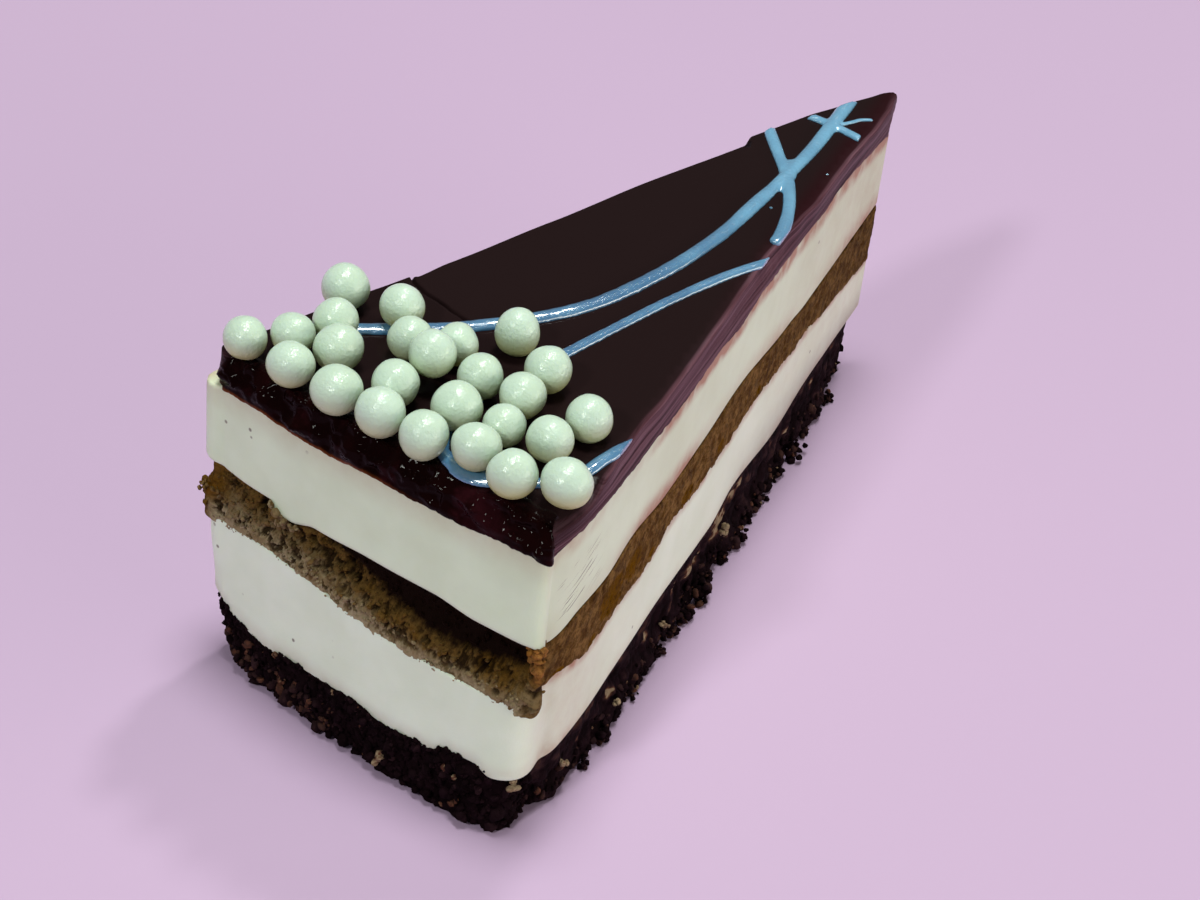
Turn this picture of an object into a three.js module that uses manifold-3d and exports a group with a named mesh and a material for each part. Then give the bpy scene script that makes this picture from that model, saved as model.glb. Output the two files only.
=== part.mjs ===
// A cut slice of layered tiramisu cheesecake: a chocolate crumb base, two cream layers with a coffee
// sponge between them, and a dark glaze that carries piped drizzle and white chocolate pearls.
// Millimetres, +Z up. The rim end faces -Y and the tip points to +Y.

import * as THREE from "three";
import { mergeVertices } from "three/addons/utils/BufferGeometryUtils.js";
import Module from "manifold-3d";

const wasm = await Module();
wasm.setup();

// Driving dimensions. Places are measured across from the slice's middle line and inward from its rim.
const sliceLength = 120; // from the rim's chord to the tip, which is the radius of the whole cake
const rimWidth = 53.6; // chord across the rim end
const rimBulge = 1.6; // how far the rim bows out past its chord
const rimLean = 3.8; // how far the rim's foot stands out past its top edge at the right corner

const crustTop = 8.6; // heights of the layers at the rim, from the underside up
const spongeBottom = 21.2;
const spongeTop = 30.4;
const glazeBottom = 43.2;
const glazeTop = 48;
const layerGap = 0.3; // clear space kept between two layers
const crustRise = 0.02; // slopes of the layers, the crumb base thicker and the glaze lower towards the tip
const spongeTilt = 0.04;
const spongeFall = 0.015;
const glazeFall = 0.01;

const outlineSteps = { smooth: 84, rough: 108, crumbly: 128 }; // points round a layer's outline
const fieldShare = 0.86; // size of the plain inner field of a layer's upper and lower faces
const fieldCentre = 43; // how far in from the rim that field is centred

const crumbCount = 54;
const crumbSize = { least: 1, most: 2.3 };
const crumbSink = 0.8; // how far a crumb is pressed into the side of the base
const crumbFloor = 0.2; // clear height under the lowest crumbs
const cragDepth = 1.1; // roughness of the base's side
const footTuck = 0.7; // how far the base's foot is set in

const spongeSetBack = { left: 0.8, right: 2.8 }; // how far the sponge's upper half is set back at the rim
const poreDepth = { rim: 0.9, cut: 0.35 };
const creamTuck = { lower: 0.5, upper: 0.8 }; // how far the foot of each cream layer is drawn in
const glazeTear = 0.9; // roughness of the glaze's torn rim
const glazeRounding = [-0.2, 0, 0, -0.25, -1.1]; // how far the glaze's side stands in, from its foot up

const pearlGap = 0.15; // clear space kept round a pearl
const pearlUneven = 0.04; // share by which a pearl's three diameters differ
const settleRounds = 200;

const drizzleFlat = 0.82; // height of a drizzle line over the glaze, as a share of its half width
const drizzleSides = 8;
const drizzleStep = 4.2; // length of one step along a drizzle line
const drizzleInset = 0.7; // how far inside the glaze's edge a drizzle line ends

// Where each pearl lies: across, inward, its diameter, and how far its neighbours hold it up, if at all.
const pearlPlaces = [
  [-23.4, 1.5, 5.6], [-19.8, 6.2, 5.6], [-21.6, 18.4, 6.2], [-17.7, 11.9, 5.8], [-13.5, 7.4, 6.1],
  [-15.5, 0.8, 6.0], [-13.7, 20.1, 5.9], [-7.2, 0.4, 6.4], [-8.6, 15.6, 5.6], [-3.1, 12.5, 6.2, 1.6],
  [-3.9, 18.0, 5.6], [0.2, 25.5, 5.9], [-3.6, 6.3, 6.1], [2.8, 14.7, 5.9], [7.9, 21.6, 6.0],
  [-0.8, 0.6, 6.4], [5.0, 7.7, 6.4], [9.0, 15.0, 6.0], [5.4, 0.9, 6.1], [11.0, 8.6, 5.5],
  [11.0, 2.6, 6.2], [16.3, 10.1, 5.9], [17.6, 16.9, 5.9], [17.2, 1.9, 6.1], [23.1, 4.2, 6.4],
];

// The drizzle lines' routes over the glaze, across and inward, as they were piped, each with its width.
const drizzleLines = [
  {
    width: 2.5,
    route: [[-27, 6], [-16.8, 15.7], [-7.3, 25.9], [0.6, 43.2], [3.4, 65], [1.8, 86], [-4.4, 114]],
  },
  {
    width: 2.1,
    route: [
      [24.4, 27], [22.2, 18], [20.6, 8], [13.6, 1.6], [7.4, 2.6], [5.4, 12], [5.6, 28], [7.6, 50], [14, 73],
    ],
  },
  { width: 2.2, route: [[-9, 98], [2.6, 85.6], [7, 78], [11, 67]] },
  { width: 1.7, route: [[-7, 103], [-1.6, 105.2], [6, 102]] },
  { width: 1.1, route: [[-2.2, 105], [3, 113]] },
];

const materials = {
  crumb: new THREE.MeshStandardMaterial({ color: 0x1f1416, roughness: 0.9, metalness: 0 }),
  cream: new THREE.MeshStandardMaterial({ color: 0xdedcc8, roughness: 0.55, metalness: 0 }),
  sponge: new THREE.MeshStandardMaterial({ color: 0x7a5a34, roughness: 0.9, metalness: 0 }),
  glaze: new THREE.MeshStandardMaterial({ color: 0x1d0f0f, roughness: 0.15, metalness: 0 }),
  pearl: new THREE.MeshStandardMaterial({ color: 0xdfe6cf, roughness: 0.25, metalness: 0 }),
};

// The surfaces between the layers.
const crustSurface = (x, y) => crustTop + crustRise * y;
const spongeFloor = (x) => spongeBottom - spongeTilt * x;
const spongeRoof = (x, y) => spongeTop - spongeFall * y;
const glazeFloor = (x, y) => glazeBottom - glazeFall * y;
const glazeRoof = () => glazeTop;
const above = (surface) => (x, y) => surface(x, y) + layerGap / 2;
const below = (surface) => (x, y) => surface(x, y) - layerGap / 2;

// A seeded draw from 0 to 1, so that every build gives the same crumbs.
function drawer(seed) {
  let state = seed;
  return () => {
    state = (Math.imul(state, 1664525) + 1013904223) >>> 0;
    return state / 2 ** 32;
  };
}

function solidOf(geometry) {
  const bare = new THREE.BufferGeometry();
  bare.setAttribute("position", geometry.getAttribute("position").clone());
  bare.setIndex(geometry.index);
  const merged = mergeVertices(bare, 1e-4);
  const mesh = new wasm.Mesh({
    numProp: 3,
    vertProperties: merged.attributes.position.array,
    triVerts: new Uint32Array(merged.index.array),
  });
  return new wasm.Manifold(mesh);
}

function geometryOf(solid) {
  const mesh = solid.getMesh();
  const geometry = new THREE.BufferGeometry();
  geometry.setAttribute("position", new THREE.BufferAttribute(new Float32Array(mesh.vertProperties), 3));
  geometry.setIndex(new THREE.BufferAttribute(new Uint32Array(mesh.triVerts), 1));
  geometry.computeVertexNormals();
  return geometry;
}

// The slice's outline from above, with rounded corners: evenly spaced points, each with its outward normal,
// its share of the rim (0 on a cut side, 1 on the rim) and its place from the left corner to the right.
function outline(rounding, steps) {
  const left = new THREE.Vector2(-rimWidth / 2, 0);
  const right = new THREE.Vector2(rimWidth / 2, 0);
  const tip = new THREE.Vector2(0, sliceLength);
  const along = (from, to, distance) => to.clone().sub(from).setLength(distance).add(from);
  const onRim = (x) => new THREE.Vector2(x, -rimBulge * (1 - (2 * x / rimWidth) ** 2));
  const rimLeft = onRim(-rimWidth / 2 + rounding.left);
  const rimRight = onRim(rimWidth / 2 - rounding.right);
  const cutRight = along(right, tip, rounding.right);
  const tipRight = along(tip, right, rounding.tip);
  const tipLeft = along(tip, left, rounding.tip);
  const cutLeft = along(left, tip, rounding.left);
  const path = new THREE.CurvePath();
  path.add(new THREE.SplineCurve([rimLeft, onRim(-rimWidth / 5), onRim(rimWidth / 5), rimRight]));
  path.add(new THREE.QuadraticBezierCurve(rimRight, right, cutRight));
  path.add(new THREE.LineCurve(cutRight, tipRight));
  path.add(new THREE.QuadraticBezierCurve(tipRight, tip, tipLeft));
  path.add(new THREE.LineCurve(tipLeft, cutLeft));
  path.add(new THREE.QuadraticBezierCurve(cutLeft, left, rimLeft));
  const points = path.getSpacedPoints(steps).slice(0, steps);
  return points.map((point, i) => {
    const before = points[(i + steps - 1) % steps];
    const after = points[(i + 1) % steps];
    const normal = new THREE.Vector2(after.y - before.y, before.x - after.x).normalize();
    const rimShare = THREE.MathUtils.smoothstep(-normal.y, 0.1, 0.9);
    return { x: point.x, y: point.y, normal, rimShare, rightward: 0.5 + point.x / rimWidth };
  });
}

// A layer: the outline raised between two surfaces. bulge gives how far each point of its side stands out.
function layer({ ring, rows, bottom, top, bulge }) {
  const count = ring.length;
  const positions = [];
  const triangles = [];
  const addRing = (place) => {
    const first = positions.length / 3;
    ring.forEach((point, i) => positions.push(...place(point, i)));
    return first;
  };
  const strip = (low, high) => {
    for (let i = 0; i < count; i += 1) {
      const next = (i + 1) % count;
      triangles.push(low + i, low + next, high + next, low + i, high + next, high + i);
    }
  };
  const inField = (surface) => (point) => {
    const x = point.x * fieldShare;
    const y = fieldCentre + (point.y - fieldCentre) * fieldShare;
    return [x, y, surface(x, y)];
  };
  const onSide = (row) => (point, i) => {
    const out = bulge(point, row, i);
    const x = point.x + point.normal.x * out;
    const y = point.y + point.normal.y * out;
    const low = bottom(x, y);
    return [x, y, low + ((top(x, y) - low) * row) / rows];
  };
  const lowField = addRing(inField(bottom));
  const sides = Array.from({ length: rows + 1 }, (unused, row) => addRing(onSide(row)));
  const highField = addRing(inField(top));
  const bands = [lowField, ...sides, highField];
  bands.slice(1).forEach((band, i) => strip(bands[i], band));
  const field = ring.map((point) => new THREE.Vector2(point.x, point.y));
  THREE.ShapeUtils.triangulateShape(field, []).forEach(([a, b, c]) => {
    triangles.push(highField + a, highField + b, highField + c);
    triangles.push(lowField + c, lowField + b, lowField + a);
  });
  const geometry = new THREE.BufferGeometry();
  geometry.setAttribute("position", new THREE.Float32BufferAttribute(positions, 3));
  geometry.setIndex(triangles);
  geometry.computeVertexNormals();
  return geometry;
}

// The rim leans out towards its foot, from nothing at the left corner to the most at the right one.
function lean(point, height) {
  return rimLean * point.rightward * point.rimShare * (1 - height / glazeTop);
}

// A random value for every point of a layer's side.
function roughness(ring, rows, seed) {
  const draw = drawer(seed);
  return ring.map(() => Array.from({ length: rows + 1 }, draw));
}

// The base: a craggy slab with loose crumbs stuck in its side.
function crumbBase() {
  const rows = 3;
  const ring = outline({ left: 7, right: 9, tip: 7 }, outlineSteps.crumbly);
  const crags = roughness(ring, rows, 7);
  const bulge = (point, row, i) => {
    const tuck = row === 0 ? footTuck : 0;
    return lean(point, (crustTop * row) / rows) - tuck + cragDepth * (crags[i][row] - 0.55);
  };
  let solid = solidOf(layer({ ring, rows, bottom: () => 0, top: below(crustSurface), bulge }));
  const draw = drawer(19);
  for (let i = 0; i < crumbCount; i += 1) {
    const point = ring[Math.floor((ring.length * (i + draw())) / crumbCount)];
    const size = THREE.MathUtils.lerp(crumbSize.least, crumbSize.most, draw() ** 2);
    const room = crustSurface(point.x, point.y) - layerGap - 2 * size - 2 * crumbFloor;
    const height = crumbFloor + size + room * draw() ** 1.5;
    const out = lean(point, height) + 0.6 * size * draw() - crumbSink;
    const crumb = new THREE.IcosahedronGeometry(size, 0);
    crumb.scale(...[draw(), draw(), draw()].map((share) => 0.72 + 0.28 * share));
    crumb.rotateZ(2 * Math.PI * draw());
    crumb.translate(point.x + point.normal.x * out, point.y + point.normal.y * out, height);
    solid = solid.add(solidOf(crumb));
  }
  return geometryOf(solid);
}

function lowerCream() {
  const rows = 2;
  const ring = outline({ left: 2.5, right: 3.5, tip: 1.2 }, outlineSteps.smooth);
  const bulge = (point, row) => {
    const height = THREE.MathUtils.lerp(crustTop, spongeBottom, row / rows);
    return lean(point, height) - creamTuck.lower * (1 - row / rows);
  };
  return layer({ ring, rows, bottom: above(crustSurface), top: below(spongeFloor), bulge });
}

// At the rim the sponge's upper half is set back under the cream, most towards the right corner.
function sponge() {
  const rows = 4;
  const ring = outline({ left: 2, right: 1.5, tip: 1.2 }, outlineSteps.rough);
  const pores = roughness(ring, rows, 23);
  const bulge = (point, row, i) => {
    const height = THREE.MathUtils.lerp(spongeBottom, spongeTop, row / rows);
    const deepest = THREE.MathUtils.lerp(spongeSetBack.left, spongeSetBack.right, point.rightward);
    const setBack = deepest * point.rimShare * THREE.MathUtils.smoothstep(row / rows, 0.15, 0.75);
    const depth = THREE.MathUtils.lerp(poreDepth.cut, poreDepth.rim, point.rimShare);
    return lean(point, height) - setBack + depth * (pores[i][row] - 0.5);
  };
  return layer({ ring, rows, bottom: above(spongeFloor), top: below(spongeRoof), bulge });
}

function upperCream() {
  const rows = 3;
  const ring = outline({ left: 2.2, right: 1.4, tip: 1 }, outlineSteps.smooth);
  const bulge = (point, row) => {
    const height = THREE.MathUtils.lerp(spongeTop, glazeBottom, row / rows);
    return lean(point, height) - (row === 0 ? creamTuck.upper : 0);
  };
  return layer({ ring, rows, bottom: above(spongeRoof), top: below(glazeFloor), bulge });
}

// The glaze is torn and lumpy along the rim, and cut clean along both sides.
function glazeSlab(ring) {
  const rows = glazeRounding.length - 1;
  const lumps = roughness(ring, rows, 41);
  const bulge = (point, row, i) => {
    const rounding = glazeRounding[row] * THREE.MathUtils.lerp(0.6, 1.2, point.rimShare);
    return rounding + glazeTear * point.rimShare * (lumps[i][row] - 0.6);
  };
  return solidOf(layer({ ring, rows, bottom: above(glazeFloor), top: glazeRoof, bulge }));
}

// A drizzle line: a round rope along its route, flattened and half sunk in the glaze.
function drizzleRope({ width, route }) {
  const curve = new THREE.CatmullRomCurve3(route.map(([x, y]) => new THREE.Vector3(x, y, 0)));
  const corners = Array.from({ length: drizzleSides }, (unused, i) => {
    const angle = (2 * Math.PI * (i + 0.5)) / drizzleSides;
    return new THREE.Vector2(Math.cos(angle), Math.sin(angle)).multiplyScalar(width / 2);
  });
  const steps = Math.round(curve.getLength() / drizzleStep);
  const section = new THREE.Shape(corners);
  const rope = new THREE.ExtrudeGeometry(section, { steps, bevelEnabled: false, extrudePath: curve });
  rope.scale(1, 1, drizzleFlat);
  rope.translate(0, 0, glazeTop);
  return solidOf(rope);
}

// A block of the glaze's outline, which trims the drizzle just inside the edges.
function trimBlock(ring) {
  const bottom = () => glazeTop - 2;
  const top = () => glazeTop + 2;
  return solidOf(layer({ ring, rows: 1, bottom, top, bulge: () => -drizzleInset }));
}

function glaze(pearls) {
  const ring = outline({ left: 2.4, right: 1.6, tip: 1.2 }, outlineSteps.rough);
  const block = trimBlock(ring);
  let solid = glazeSlab(ring);
  drizzleLines.forEach((line) => {
    solid = solid.add(drizzleRope(line).intersect(block));
  });
  pearls.forEach((pearl) => {
    solid = solid.subtract(solidOf(pearlBall(pearl, pearlGap)));
  });
  return geometryOf(solid);
}

// Pearls that would run into each other are moved apart, a little at a time, until all are clear.
function settledPearls() {
  const draw = drawer(5);
  const pearls = pearlPlaces.map(([x, y, diameter, lift = 0]) => ({
    x,
    y,
    z: glazeTop + lift + 1.5 * pearlGap + (diameter / 2) * (1 + pearlUneven / 2),
    radius: diameter / 2,
    stretch: [draw(), draw(), draw()].map((share) => 1 + pearlUneven * (share - 0.5)),
    turn: [draw(), draw(), draw()].map((share) => share * Math.PI),
  }));
  for (let round = 0; round < settleRounds; round += 1) {
    pearls.forEach((a, i) => {
      pearls.slice(i + 1).forEach((b) => {
        const apart = (a.radius + b.radius) * (1 + pearlUneven / 2) + pearlGap;
        const push = (apart - Math.hypot(b.x - a.x, b.y - a.y, b.z - a.z)) / 2;
        if (push > 0) {
          const way = new THREE.Vector2(b.x - a.x, b.y - a.y).setLength(push);
          a.x -= way.x;
          a.y -= way.y;
          b.x += way.x;
          b.y += way.y;
        }
      });
    });
  }
  return pearls;
}

function pearlBall(pearl, grown = 0) {
  const ball = new THREE.IcosahedronGeometry(pearl.radius + grown, 2);
  ball.scale(...pearl.stretch);
  ball.rotateX(pearl.turn[0]);
  ball.rotateY(pearl.turn[1]);
  ball.rotateZ(pearl.turn[2]);
  ball.translate(pearl.x, pearl.y, pearl.z);
  return ball;
}

const slice = new THREE.Group();

function addPiece(name, geometry, material) {
  const mesh = new THREE.Mesh(geometry, material);
  mesh.name = name;
  slice.add(mesh);
}

const pearls = settledPearls();
addPiece("crumb_base", crumbBase(), materials.crumb);
addPiece("lower_cream", lowerCream(), materials.cream);
addPiece("sponge", sponge(), materials.sponge);
addPiece("upper_cream", upperCream(), materials.cream);
addPiece("glaze", glaze(pearls), materials.glaze);
pearls.forEach((pearl, i) => {
  const number = String(i + 1).padStart(2, "0");
  addPiece(`pearl_${number}`, pearlBall(pearl), materials.pearl);
});

// The frame's origin is the middle of the underside.
const box = new THREE.Box3().setFromObject(slice);
slice.position.set(-(box.min.x + box.max.x) / 2, -(box.min.y + box.max.y) / 2, -box.min.z);

const cake = new THREE.Group();
cake.add(slice);

export default cake;
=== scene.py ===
import math
from itertools import product
from types import SimpleNamespace

import bmesh
import bpy
import numpy as np
from mathutils import Matrix, Vector
from mathutils.geometry import delaunay_2d_cdt


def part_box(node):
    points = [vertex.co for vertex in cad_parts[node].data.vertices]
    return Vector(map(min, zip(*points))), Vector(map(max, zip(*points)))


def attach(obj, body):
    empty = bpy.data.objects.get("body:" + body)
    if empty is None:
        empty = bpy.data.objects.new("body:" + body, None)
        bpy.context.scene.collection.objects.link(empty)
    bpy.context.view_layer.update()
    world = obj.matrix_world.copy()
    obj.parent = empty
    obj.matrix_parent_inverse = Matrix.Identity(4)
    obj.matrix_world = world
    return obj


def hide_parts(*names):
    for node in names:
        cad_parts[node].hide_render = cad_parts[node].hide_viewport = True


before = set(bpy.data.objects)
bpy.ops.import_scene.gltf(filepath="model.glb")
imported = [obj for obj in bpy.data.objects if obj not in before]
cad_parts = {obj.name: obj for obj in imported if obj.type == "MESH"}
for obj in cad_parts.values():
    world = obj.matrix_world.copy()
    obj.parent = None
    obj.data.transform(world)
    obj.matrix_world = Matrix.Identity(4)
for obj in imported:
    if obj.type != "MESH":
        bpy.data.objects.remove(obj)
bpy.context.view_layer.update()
print("frame loaded:", len(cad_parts), "solids")

# the slice's own numbers are in mm: x across, y inward from the rim, z up
mmPerMetre = 1000
cake = {
    "length": 120.0,
    "rimWidth": 53.6,
    "rimBulge": 1.6,
    "rimDepth": 3.0,  # the rim's closer points reach this far in
    "rimLean": 3.8,  # the rim's foot stands out this far at the right corner
    "top": 48.0,
    "middle": (0.0, 43.0),
    "toFrame": (-0.3745, -57.2423, 0.0),
    # how far the left side stands out of its straight line, by distance from the rim
    "leftSide": [(0, 1.0), (12, 0.7), (29.8, 0.1), (30.8, -0.5), (36, -0.1), (54, 0.35), (72, 0.95),
                 (89.4, 0.8), (92.6, 2.2), (103, 2.1), (110, 1.6), (117, 1.0), (121, 0.0)],
    # the same below the glaze, and the heights between which the one gives way to the other
    "leftSoft": [(0, 1.0), (30, -0.1), (60, 0.6), (92, 1.9), (110, 1.45), (121, 0.0)],
    "softTop": (39, 43),
    # the right side turns in by this much towards the rim, over this length
    "nearCorner": (1.1, 4.0),
    # the near corner is drawn in across the slice by this much, over this length, beyond this x
    "cornerShift": (0.9, 10.0),
    "cornerStart": 18,
    "rollRows": 4,  # rows in each rolled edge
    "capShares": (0.3, 0.7),  # inner rings of the caps
}
half, length = cake["rimWidth"] / 2, cake["length"]


# noise on point arrays

def hashGrid(cell, seed):
    n = cell[..., 0] * 73856093 ^ cell[..., 1] * 19349663 ^ cell[..., 2] * 83492791 ^ seed * 97531
    n = (n ^ (n >> 13)) & 0xFFFFFFFF
    n = (n * 1274126177) & 0xFFFFFFFF
    n = n ^ (n >> 16)
    return (n & 0xFFFFFF) / 0xFFFFFF


def softNoise(points, size, seed):
    q = np.asarray(points, float) / size
    base = np.floor(q)
    f = q - base
    base = base.astype(np.int64)
    w = f * f * (3 - 2 * f)
    total = np.zeros(q.shape[:-1])
    for corner in product((0, 1), repeat=3):
        part = np.where(corner, w, 1 - w)
        total += part[..., 0] * part[..., 1] * part[..., 2] * hashGrid(base + np.array(corner), seed)
    return total * 2 - 1


def roughNoise(points, size, seed, octaves=3, fade=0.5):
    total, strength, norm = 0.0, 1.0, 0.0
    for octave in range(octaves):
        total = total + strength * softNoise(points, size, seed + 17 * octave)
        norm += strength
        size, strength = size * 0.5, strength * fade
    return total / norm


def relief(points, depth, size, seed, octaves=3, fade=0.5):
    return depth * roughNoise(points, size, seed, octaves, fade)


def cellNoise(points, size, seed):
    # distance to the nearest scattered point, in cell sizes, and a random value of that point
    q = np.asarray(points, float) / size
    base = np.floor(q).astype(np.int64)
    near = np.full(q.shape[:-1], 9.0)
    value = np.zeros(q.shape[:-1])
    for step in product((-1, 0, 1), repeat=3):
        cell = base + np.array(step)
        spot = cell + np.stack([hashGrid(cell, seed + k) for k in (1, 2, 3)], -1)
        gap = np.linalg.norm(q - spot, axis=-1)
        closer = gap < near
        near = np.where(closer, gap, near)
        value = np.where(closer, hashGrid(cell, seed + 4), value)
    return near, value


def stretched(points, x, y, z):
    return points * np.array([x, y, z])


def smooth(low, high, value):
    t = np.clip((value - low) / (high - low), 0, 1)
    return t * t * (3 - 2 * t)


def through(knots, at):
    # eased line through (place, value) pairs
    places, values = np.array(knots, float).T
    i = np.clip(np.searchsorted(places, at) - 1, 0, len(places) - 2)
    t = smooth(0, 1, (at - places[i]) / (places[i + 1] - places[i]))
    return values[i] + (values[i + 1] - values[i]) * t


# the slice's outline and its layers

def outline(piece, steps=40):
    # points round the slice, with its three corners rounded, and what is known of each point's place
    left, right, tip = piece["rounding"]
    leftCorner, rightCorner, tipCorner = np.array([(-half, 0.0), (half, 0.0), (0.0, length)])

    def along(a, b, distance):
        return a + (b - a) / np.linalg.norm(b - a) * distance

    def bend(a, corner, b):
        t = np.linspace(0, 1, steps)[:, None]
        return (1 - t) ** 2 * a + 2 * t * (1 - t) * corner + t ** 2 * b

    x = np.linspace(-half + left, half - right, 4 * steps)
    rimPart = np.stack([x, -cake["rimBulge"] * (1 - (x / half) ** 2)], -1)
    cutRight, tipRight = along(rightCorner, tipCorner, right), along(tipCorner, rightCorner, tip)
    tipLeft, cutLeft = along(tipCorner, leftCorner, tip), along(leftCorner, tipCorner, left)
    path = np.concatenate([
        rimPart,
        bend(rimPart[-1], rightCorner, cutRight),
        bend(tipRight, tipCorner, tipLeft),
        bend(cutLeft, leftCorner, rimPart[0]),
    ])
    closed = np.concatenate([path, path[:1]])
    onRimSteps = np.maximum(closed[1:, 1], closed[:-1, 1]) < cake["rimDepth"]
    step = np.linalg.norm(np.diff(closed, axis=0), axis=1) * np.where(onRimSteps, piece["rimDense"], 1.0)
    run = np.concatenate([[0], np.cumsum(step)])
    at = np.linspace(0, run[-1], piece["count"], endpoint=False)
    x, y = np.interp(at, run, closed[:, 0]), np.interp(at, run, closed[:, 1])
    depth, reach = cake["cornerShift"]
    x = x - depth * smooth(cake["cornerStart"], half, x) * np.exp(-(np.clip(y, 0, None) / reach) ** 2)
    tx, ty = np.roll(x, -2) - np.roll(x, 2), np.roll(y, -2) - np.roll(y, 2)
    size = np.hypot(tx, ty)
    nx, ny = ty / size, -tx / size
    rim = smooth(0.1, 0.9, -ny)
    return SimpleNamespace(
        x=x, y=y, nx=nx, ny=ny, flat=np.stack([x, y, 0 * x], -1),
        rim=rim, cut=1 - rim, right=(1 - rim) * (nx > 0), left=(1 - rim) * (nx <= 0),
        across=0.5 + x / cake["rimWidth"],
        inward=np.hypot(np.abs(x) - half, y),  # distance along a cut side from its rim corner
    )


def edgeLine(ring, piece, edge, ragged=0.0, seed=0, grain=1.6):
    # height of a layer's edge round the slice
    line = ring.rim * through(piece["rim" + edge], ring.x)
    line = line + ring.right * through(piece["right" + edge], ring.inward)
    line = line + ring.left * through(piece["left" + edge], ring.inward)
    return line + ragged * roughNoise(ring.flat, grain, seed, 3, 0.6)


def bodyShift(ring, height, corner=1.0):
    # what all layers share: the leaning rim, the uneven left side and the turned-in near corner
    depth, reach = cake["nearCorner"]
    lean = cake["rimLean"] * ring.across * ring.rim * (1 - height / cake["top"])
    stepped, soft = through(cake["leftSide"], ring.y), through(cake["leftSoft"], ring.y)
    left = ring.left * (soft + (stepped - soft) * smooth(*cake["softTop"], height))
    return lean + left - corner * depth * ring.right * np.exp(-(ring.inward / reach) ** 2)


def sideRows(ring, low, high, piece):
    # points, insets and shares of height of the rows up a layer's side, with rolled edges
    rows, (rollLow, rollHigh) = piece["rows"], piece["roll"]
    rollHigh = rollHigh + piece.get("rimRoll", 0) * ring.rim
    bends = np.linspace(0, math.pi / 2, cake["rollRows"], endpoint=False)[:, None]
    rise, tuck = 1 - np.cos(bends), 1 - np.sin(bends) + 0 * low
    between = np.linspace(0, 1, rows)[:, None]
    z = np.concatenate([
        low + rollLow * rise,
        low + rollLow + (high - rollHigh - low - rollLow) * between,
        (high - rollHigh * rise)[::-1],
    ])
    inset = np.concatenate([rollLow * tuck, np.zeros((rows, len(low))), (rollHigh * tuck)[::-1]])
    x, y = np.broadcast_to(ring.x, z.shape), np.broadcast_to(ring.y, z.shape)
    return np.stack([x, y, z], -1), inset, (z - low) / (high - low)


def pushOut(ring, points, distance):
    moved = points.copy()
    moved[..., 0] += ring.nx * distance
    moved[..., 1] += ring.ny * distance
    return moved


def spotMask(ring, points, spots, shape, edge, grain):
    # spots on the right side (distance from the rim, height, size), their edges broken by the grain
    wide, tall = shape
    mask = 0 * grain
    for inward, height, size in spots:
        gap = ((ring.inward - inward) / (wide * size)) ** 2
        gap = gap + ((points[..., 2] - height) / (tall * size)) ** 2
        mask = np.maximum(mask, ring.right * smooth(*edge, np.exp(-gap) * (1 + grain)))
    return mask


def capLoops(edge, shares):
    # rings from a layer's edge towards its middle
    middle = np.array([*cake["middle"], edge[:, 2].mean()])
    return [middle + (edge - middle) * share for share in shares]


def loftFaces(loops, closeTop=True):
    # quads between closed loops, with a fan at each end
    count = len(loops[0])
    index = np.arange(count)
    after = np.roll(index, -1)
    faces = []
    for k in range(len(loops) - 1):
        a, b = k * count, (k + 1) * count
        faces += np.stack([a + index, a + after, b + after, b + index], -1).tolist()
    first, top = len(loops) * count, (len(loops) - 1) * count
    faces += np.stack([np.full(count, first), after, index], -1).tolist()
    verts = np.concatenate([np.concatenate(loops), [loops[0].mean(0)]])
    if closeTop:
        faces += np.stack([top + index, top + after, np.full(count, first + 1)], -1).tolist()
        verts = np.concatenate([verts, [loops[-1].mean(0)]])
    return verts, faces


def fillLoop(loop, spacing):
    # even triangles inside a closed loop: new points, and faces that count the loop's own points first
    low, high = loop[:, :2].min(0), loop[:, :2].max(0)
    x, y = np.meshgrid(np.arange(low[0], high[0], spacing), np.arange(low[1], high[1], 0.87 * spacing))
    x = x + 0.5 * spacing * (np.arange(len(x)) % 2)[:, None]
    spots = np.stack([x.ravel(), y.ravel()], -1)
    gap = np.linalg.norm(spots[:, None] - loop[None, ::3, :2], axis=-1).min(1)
    flat = [Vector(spot) for spot in (*loop[:, :2], *spots[gap > 0.8 * spacing])]
    places, _, tris, origins, _, _ = delaunay_2d_cdt(flat, [], [list(range(len(loop)))], 1, 1e-7)
    number, extra = {}, []
    for k in sorted({k for tri in tris for k in tri}):
        if origins[k] and origins[k][0] < len(loop):
            number[k] = origins[k][0]
        else:
            number[k] = len(loop) + len(extra)
            extra.append((*places[k], 0.0))
    return np.array(extra), [[number[k] for k in tri] for tri in tris]


def addObject(name, data):
    made = bpy.data.objects.new(name, data)
    bpy.context.scene.collection.objects.link(made)
    return made


def ballMesh(detail):
    shape = bmesh.new()
    bmesh.ops.create_icosphere(shape, subdivisions=detail, radius=1)
    verts = np.array([v.co[:] for v in shape.verts])
    faces = np.array([[v.index for v in face.verts] for face in shape.faces])
    shape.free()
    return verts, faces


def makePiece(name, verts, faces, finish, node, marks):
    mesh = bpy.data.meshes.new(name)
    placed = (np.asarray(verts) + np.array(cake["toFrame"])) / mmPerMetre
    mesh.from_pydata(placed.tolist(), [], faces)
    for mark, values in marks.items():
        layer = mesh.attributes.new(mark, "FLOAT", "POINT")
        layer.data.foreach_set("value", np.asarray(values, np.float32))
    mesh.materials.append(finish)
    mesh.shade_smooth()
    mesh.update()
    piece = addObject(name, mesh)
    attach(piece, "root")
    if node:
        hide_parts(node)
    print(name, len(mesh.polygons), "faces")
    return piece


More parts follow.
